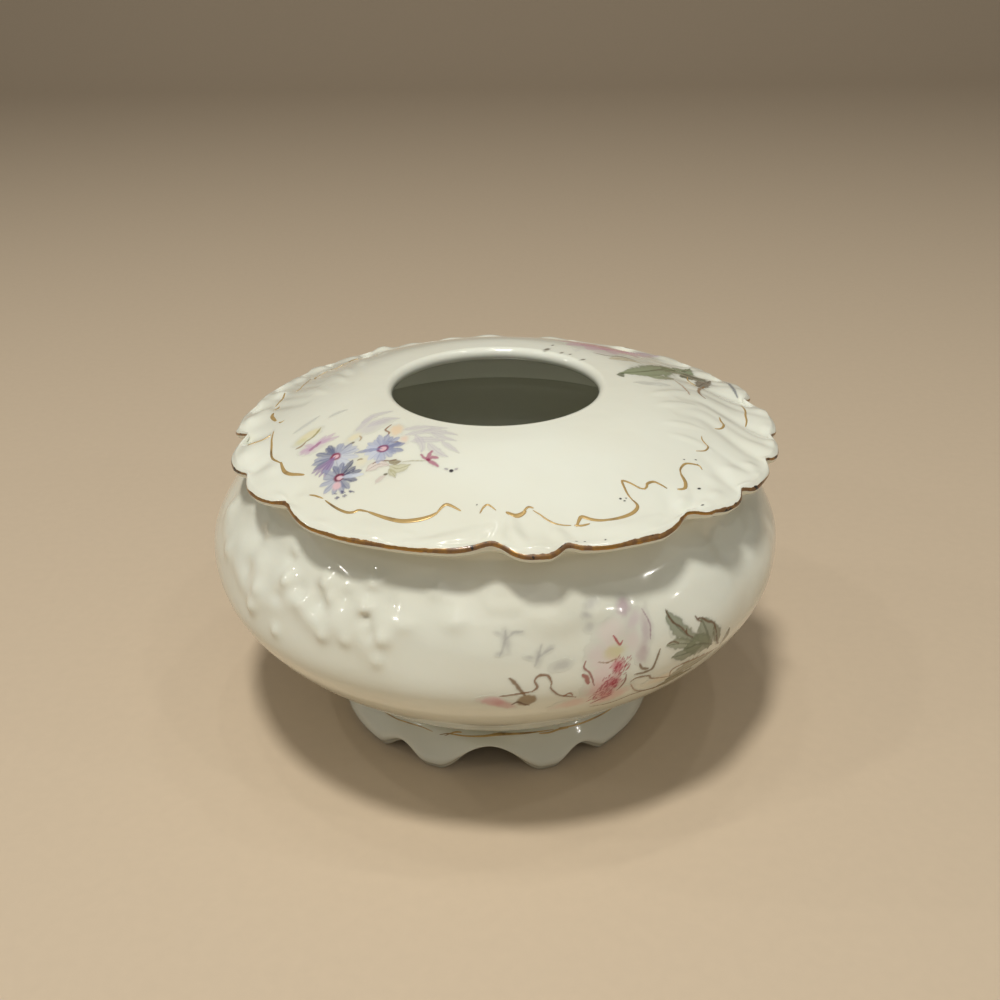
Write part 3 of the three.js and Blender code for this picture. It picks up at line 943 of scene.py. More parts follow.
def shaded(colour, share):
    # a screen colour made darker
    return tuple(share * part for part in screen(*colour)[:3]) + (1.0,)


glazeLook = {
    "white": (231, 233, 219),
    "thin": (226, 226, 209),
    "thinAmong": (0.4, 0.7),
    "thinGrain": 28.0,
    "speckGrain": 130.0,
    "speck": (92, 84, 70),
    "speckShare": 0.93,
    "speckSize": 0.035,
    "speckCover": 0.6,
    # painted shade of the hollows: how much darker their glaze colour is made
    "insideShade": 0.86,
    "gilt": (182, 138, 72),
    "giltWorn": (116, 84, 50),
    "giltChip": (46, 38, 32),
    "giltWidth": -0.75,
    "giltFoot": 1.02,
    "giltRagged": 0.4,
    "giltPatchy": 0.9,
    "giltRubbed": 0.35,
    "giltFootRagged": 0.3,
    "raggedGrain": 650.0,
    "patchyGrain": 110.0,
    "rubbedFrom": (0.032, 0.048),
    "wearRagged": 0.7,
    "wearPatchy": 0.6,
    "wearFrom": (0.52, 0.72),
    "wearDulls": 0.8,
    "chipFrom": 0.79,
    "giltMetal": 0.85,
    "giltRoughness": 0.22,
    "roughness": 0.12,
    "unevenness": 0.04,
    "coat": 0.3,
    "coatRoughness": 0.03,
    "depth": 0.12,
    "depthRadius": (0.0022, 0.0018, 0.0014),
    "waveGrain": 210.0,
    "waveStrength": 0.12,
    "waveHeight": 0.0006,
}


def giltShare(add, look, place, ragged, patchy):
    # the gilding runs in from the rim to an uneven edge
    near = attributeNode(add, "nearRim")
    reach = mathNode(add, "MULTIPLY_ADD", ragged, look["giltRagged"], look["giltWidth"])
    reach = mathNode(add, "MULTIPLY_ADD", patchy, look["giltPatchy"], reach)
    # it is rubbed thin at the two ends of the lid, where the lid is held
    aside = mathNode(add, "ABSOLUTE", add("ShaderNodeSeparateXYZ", Vector=place).outputs["X"])
    rubbed = rangeNode(add, aside, *look["rubbedFrom"])
    reach = mathNode(add, "MULTIPLY_ADD", rubbed, -look["giltRubbed"], reach)
    inner = mathNode(add, "GREATER_THAN", mathNode(add, "ADD", near, reach), rimSpan)
    lower = mathNode(add, "MULTIPLY_ADD", ragged, look["giltFootRagged"], near)
    above = mathNode(add, "LESS_THAN", lower, rimSpan + look["giltFoot"])
    return mathNode(add, "MULTIPLY", inner, above)


def makeGlaze():
    # glazed porcelain, with the colours painted on it, the gilding of the lid's rim and painted shade in the
    # hollows
    look = glazeLook
    material, tree, shader, add = nodeTools("porcelainGlaze")
    place = add("ShaderNodeTexCoord").outputs["Object"]
    tone = rangeNode(add, noiseNode(add, place, look["thinGrain"], 3.0), *look["thinAmong"])
    white = mixColours(add, tone, screen(*look["white"]), screen(*look["thin"]))
    dots = add("ShaderNodeTexVoronoi", Vector=place, Scale=look["speckGrain"])
    picked = mathNode(add, "GREATER_THAN", dots.outputs["Color"], look["speckShare"])
    small = mathNode(add, "LESS_THAN", dots.outputs["Distance"], look["speckSize"])
    speck = mathNode(add, "MULTIPLY", mathNode(add, "MULTIPLY", picked, small), look["speckCover"])
    white = mixColours(add, speck, white, screen(*look["speck"]))
    colour = mixColours(add, attributeNode(add, "cover"), white, attributeNode(add, "paint", "Color"))

    # painted shade: the glaze of the hollow is given a darker, greyer colour, as little light gets in
    colour = mixColours(add, attributeNode(add, "inner"), colour, shaded(look["thin"], look["insideShade"]))

    # the gilding is worn brown and chipped in places
    ragged = noiseNode(add, place, look["raggedGrain"], 3.0)
    patchy = noiseNode(add, place, look["patchyGrain"], 2.0)
    onRim = giltShare(add, look, place, ragged, patchy)
    worn = mathNode(add, "MULTIPLY", patchy, look["wearPatchy"])
    worn = mathNode(add, "MULTIPLY_ADD", ragged, look["wearRagged"], worn)
    wear = rangeNode(add, worn, *look["wearFrom"])
    chip = mathNode(add, "GREATER_THAN", worn, look["chipFrom"])
    gilt = mixColours(add, wear, screen(*look["gilt"]), screen(*look["giltWorn"]))
    gilt = mixColours(add, chip, gilt, screen(*look["giltChip"]))
    tree.links.new(mixColours(add, onRim, colour, gilt), shader.inputs["Base Color"])
    bright = mathNode(add, "MULTIPLY_ADD", wear, -look["wearDulls"], look["giltMetal"], clamp=True)
    tree.links.new(mathNode(add, "MULTIPLY", onRim, bright), shader.inputs["Metallic"])
    rough = mathNode(add, "MULTIPLY_ADD", tone, look["unevenness"], look["roughness"])
    rough = mathNode(add, "MULTIPLY_ADD", onRim, look["giltRoughness"], rough)
    tree.links.new(rough, shader.inputs["Roughness"])
    shader.inputs["Coat Weight"].default_value = look["coat"]
    shader.inputs["Coat Roughness"].default_value = look["coatRoughness"]
    shader.inputs["Subsurface Weight"].default_value = look["depth"]
    shader.inputs["Subsurface Radius"].default_value = look["depthRadius"]
    shader.inputs["Subsurface Scale"].default_value = 1.0

    # the glaze is not quite even
    wavy = noiseNode(add, place, look["waveGrain"], 2.0)
    bump = add("ShaderNodeBump", Height=wavy, Strength=look["waveStrength"], Distance=look["waveHeight"])
    tree.links.new(bump.outputs[0], shader.inputs["Normal"])
    return material


goldLook = {
    "line": (206, 174, 114),
    "lineWorn": (142, 116, 76),
    "wearGrain": 260.0,
    "wearFrom": (0.5, 0.7),
    "metal": 0.35,
    "roughness": 0.28,
    "wornRoughness": 0.3,
}


def makeGold():
    # burnished gold laid over the glaze in thin lines
    look = goldLook
    material, tree, shader, add = nodeTools("giltLine")
    place = add("ShaderNodeTexCoord").outputs["Object"]
    wear = rangeNode(add, noiseNode(add, place, look["wearGrain"], 3.0), *look["wearFrom"])
    colour = mixColours(add, wear, screen(*look["line"]), screen(*look["lineWorn"]))
    tree.links.new(colour, shader.inputs["Base Color"])
    rough = mathNode(add, "MULTIPLY_ADD", wear, look["wornRoughness"], look["roughness"])
    tree.links.new(rough, shader.inputs["Roughness"])
    shader.inputs["Metallic"].default_value = look["metal"]
    return material


# Gilded lines

gilding = {
    "lidBrush": 0.78,
    "right": -1.1,
    "lidBelt": 44,
    "footBelt": 29.5,
    "footMiddle": 0.005,
    "thickness": 0.04,
    "sunk": 0.08,
    "crown": 0.03,
    "step": 0.35,
    "pathPoints": 40,
    "leastSteps": 6,
    "stepsAcross": 4,
}

# scrolls of the lid's front: the path as azimuth and radius, and the widest the brush was pressed
frontScrolls = [
    ([(-44.1, 46.4), (-42.6, 46.1), (-40.1, 46)], 0.45),
    ([(-39.2, 46.2), (-35.2, 46.9), (-32.4, 47.1), (-31, 46.7), (-30.1, 46), (-27.7, 45.9)], 0.7),
    ([(-27.9, 45.9), (-23.4, 46.4), (-20, 46.5), (-17, 45.9), (-14.5, 45), (-12.9, 44)], 1.1),
    ([(-13.1, 44.3), (-12.3, 43), (-11.4, 42.3), (-10.1, 42.5), (-7.9, 43.4)], 0.7),
    ([(-3.8, 43.8), (-3, 42.6), (-1.9, 42.1), (-0.3, 43.2)], 0.45),
    ([(1.8, 43.6), (3.4, 44.4), (4.7, 44.3), (6.1, 43.6)], 1.1),
    ([(5.3, 43.9), (6.7, 42.9), (7.9, 43.2)], 0.5),
    ([(7.6, 43.6), (8.9, 44.6), (9.9, 45.6), (11.6, 46.7), (14.3, 47.2)], 0.4),
    ([(15.2, 47.7), (16.2, 46.6), (17.2, 46), (18.7, 46.8), (20.5, 47.4), (23, 47.7)], 0.8),
    ([(14.9, 47.3), (16.2, 47.7), (18, 47.6)], 0.5),
    ([(20, 47.3), (23, 47.7), (25.7, 47.7), (28.1, 47.3), (29.8, 46.4), (29.9, 45.2)], 0.8),
    (
        [(29.8, 45.6), (29.8, 43.9), (30.4, 42.3), (31.2, 41.1), (32.5, 41.9), (33.6, 43.4), (34.7, 43.8)],
        0.55,
    ),
    ([(34.2, 43.9), (35.4, 43.6), (36.3, 43.1), (38.1, 43.2), (38.9, 44.1), (39.5, 45.2)], 0.6),
]
# scrolls of the lid's two ends, which the front ones run into
sideScrolls = [
    ([(41.4, 46.1), (43, 46.6), (44.7, 45.8), (45.6, 44.8), (46.3, 43.9)], 0.8),
    ([(46, 44.3), (47.4, 43.3), (50, 42.9), (51.6, 43.4), (52.9, 44.5), (52.2, 45.4)], 0.5),
    ([(57.6, 42.3), (59.9, 43.3), (62.2, 43.3), (63, 42.6), (64.1, 41.8), (65.6, 41.4)], 0.4),
    ([(73.9, 42.7), (75.4, 43.8), (77.8, 44.1), (79.4, 43.6), (81.5, 43.3)], 0.55),
    ([(94.7, 49.1), (91.5, 49.2), (88.4, 48.7), (85.5, 48.6), (83, 48.2)], 0.5),
    ([(101.7, 41.6), (104.5, 42.2), (107, 41.6), (110, 42.6)], 0.4),
    ([(-78.5, 43), (-74, 43.7), (-70.8, 44.1), (-65.8, 45), (-62.5, 44.8), (-60.2, 44.4)], 0.55),
    ([(-61, 44.4), (-58, 45), (-56.2, 45.2), (-54.2, 44.9), (-52.4, 44.2), (-50.6, 43.6)], 1.0),
    ([(-117.3, 44.1), (-112, 43), (-108.9, 42.6), (-105.5, 42.3)], 0.4),
    ([(-106.6, 45.5), (-103.5, 44.8), (-100.7, 44.6), (-98, 44.9)], 0.6),
    ([(-97, 43.7), (-95.8, 43.9), (-94.6, 44.4)], 0.7),
    ([(-91.5, 43.9), (-89.4, 43.9), (-87, 43.3), (-84.6, 42.6)], 1.0),
    ([(-82.8, 41.9), (-82, 41.5), (-82.2, 40.8)], 0.5),
    ([(-77.4, 43.6), (-77, 45.2), (-76.4, 46.8), (-76, 48.4)], 1.1),
]
# the line round the foot over a third of a turn: the path as azimuth and height, and the width
footScrolls = [
    ([(-64, 6.5), (-58, 6.6), (-50, 6.9), (-42, 7.1), (-37, 7.4), (-30, 7.6), (-25, 7.4)], 0.2),
    ([(-22, 7.2), (-18.5, 7.7), (-13, 7.8), (-6, 8.1), (0, 8.3), (6, 8.2), (14, 8), (22, 7.8)], 0.24),
    ([(-20, 7.2), (-17.8, 7.8), (-16, 8.1), (-13.5, 8.2)], 0.18),
    ([(16, 7.7), (20, 7.5), (24, 7.6), (28, 7.4)], 0.3),
    ([(24, 7.8), (31, 7.4), (38, 7.1), (46, 6.8), (55, 6.5)], 0.28),
]


def scrollPlace(azimuth, radius, out=0.0):
    # the scrolls were drawn round a point a little to the left of the hole's axis
    angle = np.radians(azimuth)
    x = radius * np.sin(angle) + gilding["right"]
    y = -radius * np.cos(angle)
    return crownSurface(np.degrees(np.arctan2(x, -y)), np.hypot(x, y), out)


def footSurface(azimuth, height, out=0.0):
    # points of the outside of the foot, by the height that they have before the arches lift them
    lift, pinch = footLift(azimuth)
    share = np.clip(1 - height / bowl["footHeight"], 0, 1)
    radius = np.interp(height, *np.array(footOutside()).T[::-1]) - pinch * share + out
    return onCircle(azimuth, radius, height + lift * share, bellyLean(0.0))


def underFootLift(azimuth, height):
    # the height that a point of the foot had before the arches lifted it
    lift = footLift(azimuth)[0]
    return (height - lift) / (1 - lift / bowl["footHeight"])


def footPlace(azimuth, height, out):
    return footSurface(azimuth, underFootLift(azimuth, height), out)


def turnedPath(path, by):
    return [(azimuth + by, across) for azimuth, across in path]


def addLine(bm, path, width, place, belt):
    # a thin domed line laid along a path, the ends drawn out to a point
    look = gilding
    path = smoothCurve(path, look["pathPoints"])
    flat = np.stack([np.radians(path[:, 0]) * belt, path[:, 1]], 1)
    length = np.hypot(*np.diff(flat, axis=0).T).sum()
    steps = max(int(length / look["step"]), look["leastSteps"])
    path = smoothCurve(path, steps + 1)
    along = np.gradient(np.stack([np.radians(path[:, 0]) * belt, path[:, 1]], 1), axis=0)
    along /= np.hypot(along[:, 0], along[:, 1])[:, None]
    share = np.linspace(0, 1, steps + 1)
    half = width / 2 * (0.3 + 0.7 * np.sin(math.pi * share).clip(0) ** 0.6)
    grid = bmesh.ops.create_grid(bm, x_segments=steps, y_segments=look["stepsAcross"], size=1)["verts"]
    spot = np.array([(v.co.x, v.co.y) for v in grid])
    i = np.rint((spot[:, 0] + 1) / 2 * steps).astype(int)
    side = spot[:, 1] * half[i]
    azimuth = path[i, 0] - np.degrees(along[i, 1] * side / belt)
    across = path[i, 1] + along[i, 0] * side
    out = look["thickness"] + look["crown"] * (1 - spot[:, 1] ** 2)
    for vert, point in zip(grid, place(azimuth, across, out) * mm):
        vert.co = point


def finishLines(bm, name, body, material, middle):
    # each line faces away from the middle of the porcelain before it gets its thickness
    bmesh.ops.recalc_face_normals(bm, faces=bm.faces)
    for face in bm.faces:
        if face.normal.dot(face.calc_center_median() - middle) < 0:
            face.normal_flip()
    bmesh.ops.solidify(bm, geom=bm.faces[:], thickness=gilding["sunk"] * mm)
    bmesh.ops.recalc_face_normals(bm, faces=bm.faces)
    finishPiece(meshFrom(bm, name), name, body, material)


def buildGilding(material):
    look = gilding
    lines = bmesh.new()
    for path, width in frontScrolls + sideScrolls:
        addLine(lines, path, width * look["lidBrush"], scrollPlace, look["lidBelt"])
    for path, width in frontScrolls + sideScrolls[:3]:
        addLine(lines, turnedPath(path, 180), width * look["lidBrush"], scrollPlace, look["lidBelt"])
    finishLines(lines, "lidGilding", "lid", material, Vector((0, 0, 0)))

    lines = bmesh.new()
    for copy in range(bowl["arches"]):
        for path, width in footScrolls:
            turned = turnedPath(path, copy * fullTurn / bowl["arches"])
            addLine(lines, turned, width, footPlace, look["footBelt"])
    finishLines(lines, "footGilding", "bowl", material, Vector((0, 0, look["footMiddle"])))
    print("gilding laid")


# Painting

enamelLook = {
    "lidOut": 0.02,
    "bowlOut": 0.03,
    "film": 0.035,
    "least": 0.015,
    "rimGap": 1.0,
    "rimFade": 1.5,
    "beltRadius": 55,
    "beltHeight": 38,
    "astersRight": -0.45,
}


# where the edge of a mark begins and ends, in shares of its half-width, and how uneven it is
brush = {
    "grainSize": 0.5,
    "mottleSize": 2.2,
    "petalEdge": (0.7, 1.15),
    "petalGrain": 0.2,
    "petalStreaks": 14,
    "petalWander": 3,
    "strokeEdge": (0.55, 1.25),
    "strokeGrain": 0.25,
    "washMottle": 0.22,
    "washGrain": 0.08,
    "leafEdge": (0.75, 1.1),
    "leafBorder": 0.9,
    "leafBorderWidth": 0.18,
    "leafBorderStrength": 0.35,
    "midribWidth": 0.12,
    "midribStrength": 0.6,
}


class Enamel:
    # colours laid over a small stretch of the glaze, in millimetres across and up
    def __init__(self, left, right, low, high, cell, seed):
        columns = int((right - left) / cell) + 1
        rows = int((high - low) / cell) + 1
        across = np.linspace(left, right, columns)
        up = np.linspace(low, high, rows)
        self.x, self.y = np.meshgrid(across, up, indexing="ij")
        self.colour = np.ones(self.x.shape + (3,))
        self.cover = np.zeros(self.x.shape)
        self.random = np.random.default_rng(seed)
        self.grain = self.cloud(brush["grainSize"])
        self.mottle = self.cloud(brush["mottleSize"])

    def cloud(self, size):
        # soft random patches of about that size, from -1 to 1
        u = (self.x - self.x.min()) / size
        v = (self.y - self.y.min()) / size
        lattice = self.random.uniform(-1, 1, (int(u.max()) + 3, int(v.max()) + 3))
        i = u.astype(int)
        j = v.astype(int)
        s = ease(0, 1, u - i)
        t = ease(0, 1, v - j)
        near = lattice[i, j] * (1 - t) + lattice[i, j + 1] * t
        far = lattice[i + 1, j] * (1 - t) + lattice[i + 1, j + 1] * t
        return near * (1 - s) + far * s

    def lay(self, mask, colour, strength):
        add = np.clip(mask * strength, 0, 1)
        total = self.cover + add - self.cover * add
        kept = (self.cover * (1 - add))[..., None]
        mixed = (self.colour * kept + linear(colour) * add[..., None]) / np.maximum(total, 1e-4)[..., None]
        self.colour = np.where(total[..., None] > 1e-4, mixed, linear(colour))
        self.cover = total

    def turned(self, x, y, angle):
        c = math.cos(math.radians(angle))
        s = math.sin(math.radians(angle))
        return (self.x - x) * c + (self.y - y) * s, (self.y - y) * c - (self.x - x) * s

    def petal(self, x, y, angle, length, width, colour, strength=0.8, streak=0.3, tip=0.6):
        # a brush mark that starts at a point and swells towards its tip
        along, across = self.turned(x, y, angle)
        share = along / length
        swell = np.sin(math.pi * np.clip(share, 0, 1) ** tip).clip(0) ** 0.6
        edge = np.abs(across) / np.maximum(width / 2 * swell, 1e-3)
        mask = 1 - ease(*brush["petalEdge"], edge + brush["petalGrain"] * self.grain)
        mask = mask * ((share > 0) & (share < 1))
        streaks = np.cos(across * brush["petalStreaks"] + self.mottle * brush["petalWander"])
        mask = mask * (1 - streak * (0.5 + 0.5 * streaks))
        self.lay(mask, colour, strength)

    def stroke(self, points, width, colour, strength=0.85):
        path = smoothCurve(points, 10 * len(points))
        distance, along = distanceToPath(self.x, self.y, path)
        half = width / 2 * (0.4 + 0.6 * np.sin(math.pi * along).clip(0) ** 0.5)
        edge = distance / half + brush["strokeGrain"] * self.grain
        self.lay(1 - ease(*brush["strokeEdge"], edge), colour, strength)

    def wash(self, x, y, size, angle, colour, strength=0.5, soft=0.6):
        along, across = self.turned(x, y, angle)
        reach = np.hypot(along / size[0], across / size[1])
        reach = reach + brush["washMottle"] * self.mottle + brush["washGrain"] * self.grain
        self.lay(1 - ease(1 - soft, 1, reach), colour, strength)

    def leaf(self, points, width, colour, dark, strength=0.75):
        # a pointed leaf along a path, with a darker border and its midrib
        path = smoothCurve(points, 10 * len(points))
        distance, along = distanceToPath(self.x, self.y, path)
        half = width / 2 * np.sin(math.pi * np.clip(along, 0.02, 0.98) ** 0.8) ** 0.8
        edge = distance / half + brush["strokeGrain"] * self.grain
        self.lay(1 - ease(*brush["leafEdge"], edge), colour, strength)
        border = np.exp(-(((edge - brush["leafBorder"]) / brush["leafBorderWidth"]) ** 2))
        self.lay(border * (edge < 1.3), dark, brush["leafBorderStrength"])
        self.stroke(points, width * brush["midribWidth"], dark, brush["midribStrength"])


def paintAster(enamel, x, y, size, petals, light, deep, heart, shadedAt):
    # narrow petals round a crimson ring, deeper in colour towards the shaded side
    random = enamel.random
    for i in range(petals):
        angle = fullTurn * i / petals + random.uniform(-7, 7)
        length = size * random.uniform(0.78, 1.08)
        depth = (0.5 + 0.5 * math.cos(math.radians(angle - shadedAt))) * random.uniform(0.45, 1.3)
        depth = min(depth, 1)
        colour = tuple(np.array(light) * (1 - depth) + np.array(deep) * depth)
        enamel.petal(x, y, angle, length, size * 0.33, colour, 0.8, 0.2, 1.5)
        reach = math.radians(angle + random.choice((-6, 6)))
        tip = (x + 0.9 * length * math.cos(reach), y + 0.9 * length * math.sin(reach))
        start = (x + 0.3 * length * math.cos(reach), y + 0.3 * length * math.sin(reach))
        enamel.stroke([start, tip], 0.22, deep, 0.25 + 0.45 * depth)
    enamel.wash(x, y, (size * 0.3, size * 0.3), 0, heart, 0.95, 0.4)
    enamel.wash(x + 0.1, y - 0.1, (size * 0.17, size * 0.15), 0, (240, 200, 206), 0.9, 0.4)


def paintAsters():
    # blue asters with pale leaves, on the left of the lid's front
    enamel = Enamel(-40, -1, -37.5, -5, 0.15, 5)
    lavender = (212, 206, 208)
    shade = (198, 192, 196)
    enamel.wash(-22.3, -18.8, (3.6, 2.4), 15, lavender, 0.45, 0.8)
    enamel.wash(-20, -17.6, (2.4, 1.2), 20, shade, 0.35, 0.8)
    for points, width in [
        ([(-24.2, -17.2), (-21.5, -14.6), (-18.4, -13.2)], 1.4),
        ([(-22.8, -18.6), (-19.8, -16.8), (-17, -16.6)], 1.6),
        ([(-25, -19.2), (-23.4, -16.8), (-22, -14.6)], 1.2),
        ([(-16.3, -21.4), (-13, -20.8), (-10.5, -20.8)], 1.3),
        ([(-15.6, -23.2), (-11, -22.4), (-6.4, -24.4)], 1.7),
        ([(-12.6, -22.6), (-10.6, -21.4), (-8.2, -21.6)], 1.0),
        ([(-11, -23), (-9, -25), (-6.6, -26.4)], 1.2),
        ([(-14.6, -25.4), (-11.5, -25.4), (-8.6, -26.2)], 1.7),
        ([(-13.8, -23.6), (-12.6, -27), (-12.8, -29)], 1.4),
        ([(-11.6, -26.6), (-9.9, -29.4), (-8.2, -30.8)], 1.5),
        ([(-9.2, -26.4), (-7.4, -28.6), (-6.2, -30)], 1.0),
    ]:
        enamel.leaf(points, width, lavender, shade, 0.42)
    for points, width in [
        ([(-38, -13), (-35.5, -11.5), (-33, -9.6)], 0.9),
        ([(-31, -11.6), (-29, -10.6), (-27.4, -10.4)], 0.8),
    ]:
        enamel.leaf(points, width, (208, 210, 202), (192, 194, 184), 0.45)
    # yellow and peach blossoms
    enamel.wash(-34.4, -15.8, (3.2, 1.8), 25, (240, 228, 176), 0.65, 0.7)
    enamel.wash(-36, -17.2, (1.7, 1.4), 0, (222, 218, 160), 0.5, 0.8)
    enamel.stroke([(-35, -17.8), (-33.7, -17.1), (-32.8, -15.8), (-32.3, -14.6)], 0.6, (156, 146, 84), 0.7)
    enamel.stroke([(-36.8, -19), (-35.8, -18.8), (-35, -17.9)], 0.6, (150, 118, 76), 0.75)
    enamel.wash(-25.3, -21.2, (1.9, 1.5), 30, (243, 231, 186), 0.65, 0.7)
    enamel.stroke([(-24.2, -22.6), (-23.9, -21.8), (-24.3, -21)], 0.4, (168, 132, 80), 0.7)
    enamel.stroke([(-26.9, -23.6), (-26, -23), (-25.2, -22.6)], 0.65, (104, 92, 78), 0.8)
    enamel.wash(-17.3, -21.4, (1.9, 2.7), -20, (243, 216, 178), 0.8, 0.6)
    enamel.wash(-15.9, -24.4, (1.3, 1.7), 0, (241, 208, 182), 0.6, 0.7)
    enamel.stroke([(-18.4, -19), (-19.4, -20.6), (-18.7, -21.8), (-19.2, -23)], 0.42, (140, 92, 52), 0.85)
    enamel.stroke([(-18.8, -24.4), (-17.9, -24.9), (-17, -25)], 0.6, (124, 92, 60), 0.75)
    # mauve flower
    enamel.wash(-33.2, -20.4, (3.2, 1.9), 12, (222, 200, 212), 0.6, 0.7)
    petals = [(190, 3), (205, 3.2), (228, 2.6), (150, 2.4), (15, 3.4), (28, 4.4), (45, 3), (8, 4.8)]
    for angle, length in petals:
        enamel.petal(-33, -20.2, angle, length, 1.1, (208, 176, 198), 0.6, 0.3, 1.2)
    enamel.stroke([(-33.9, -21.2), (-32.9, -20.4), (-31.9, -19.6)], 1.0, (172, 112, 146), 0.7)
    # brown and green leaves below the second aster
    enamel.wash(-23.8, -28.6, (2.0, 1.5), 20, (241, 232, 196), 0.55, 0.7)
    enamel.stroke([(-24.4, -28), (-23.9, -27.8), (-23.4, -28)], 0.4, (140, 116, 78), 0.7)
    enamel.leaf([(-22.6, -31.2), (-20.5, -30.2), (-18.5, -31)], 1.9, (232, 214, 206), (176, 148, 138), 0.55)
    enamel.leaf([(-21, -34.6), (-20, -33.6), (-19, -33.2)], 0.9, (226, 208, 198), (186, 160, 148), 0.5)
    enamel.leaf([(-18.6, -30), (-17.6, -30.5), (-16.4, -30.5)], 1.3, (150, 136, 98), (112, 90, 62), 0.75)
    enamel.leaf([(-18.4, -31.2), (-17, -32.2), (-14.8, -31.7)], 1.9, (208, 204, 164), (164, 156, 110), 0.65)
    enamel.leaf([(-18.6, -32), (-17.8, -33.4), (-17.5, -34.2)], 1.1, (196, 192, 148), (150, 142, 96), 0.6)
    enamel.stroke([(-21.6, -29.8), (-20.2, -29.4), (-18.8, -29.8), (-17.2, -29.9)], 0.35, (116, 84, 56), 0.8)
    enamel.wash(-19.2, -33, (0.45, 0.28), 0, (98, 92, 62), 0.85, 0.4)
    enamel.stroke([(-16.4, -30.8), (-14.4, -30.8), (-12, -31.3)], 0.24, (184, 180, 140), 0.7)
    # the asters
    paintAster(enamel, -28.6, -25.3, 4.4, 17, (210, 215, 226), (108, 114, 144), (150, 62, 90), 140)
    for angle in (212, 224, 236, 248):
        enamel.petal(-28.6, -25.3, angle, 5.2, 1.0, (150, 122, 166), 0.7, 0.3, 1.3)
    paintAster(enamel, -19.8, -26.2, 4.0, 18, (206, 212, 228), (130, 136, 170), (140, 76, 112), 20)
    enamel.petal(-19.8, -26.2, 176, 5.4, 0.9, (132, 138, 176), 0.7, 0.2, 1.0)
    paintAster(enamel, -27.6, -31.2, 4.1, 13, (172, 178, 200), (80, 84, 116), (122, 44, 70), 30)
    enamel.petal(-27.6, -31.2, -8, 4.6, 1.1, (214, 222, 238), 0.75, 0.2, 1.2)
    enamel.wash(-27.9, -33, (1.1, 1.2), 0, (238, 198, 200), 0.85, 0.5)
    for i in range(12):
        x, y = enamel.random.uniform(-28.4, -25.2), enamel.random.uniform(-36, -34.4)
        enamel.stroke([(x, y), (x + 0.5, y - 0.4)], 0.3, (82, 82, 116), 0.75)
    # crimson bud and its tick
    for points, width in [
        ([(-11.9, -31), (-11.5, -29.9), (-10.9, -28.8)], 0.8),
        ([(-11.9, -31), (-12.5, -30.2), (-12.9, -29.4)], 0.6),
        ([(-11.8, -31.1), (-10.8, -30.6), (-9.9, -30.9)], 0.9),
        ([(-11.7, -31.3), (-10.8, -32), (-10, -33)], 0.9),
    ]:
        enamel.stroke(points, width, (178, 98, 126), 0.8)
    enamel.wash(-11.6, -31.1, (0.6, 0.55), 0, (146, 54, 88), 0.85, 0.5)
    enamel.wash(-8.6, -33.8, (0.5, 0.3), -30, (150, 140, 150), 0.7, 0.5)
    enamel.wash(-7.8, -34.3, (0.42, 0.4), 0, (40, 34, 44), 0.95, 0.3)
    enamel.wash(-6.9, -34, (0.4, 0.26), 20, (168, 156, 160), 0.7, 0.4)
    return enamel


def fromAxis(azimuth, radius):
    angle = math.radians(azimuth)
    return radius * math.sin(angle), -radius * math.cos(angle)


# the marks' azimuth, radius and half-size
lipMarks = [(150.5, 22.2, 1.3), (151.5, 25.6, 0.7), (141, 22, 0.9), (136, 22.4, 0.6), (125.5, 22, 0.8)]


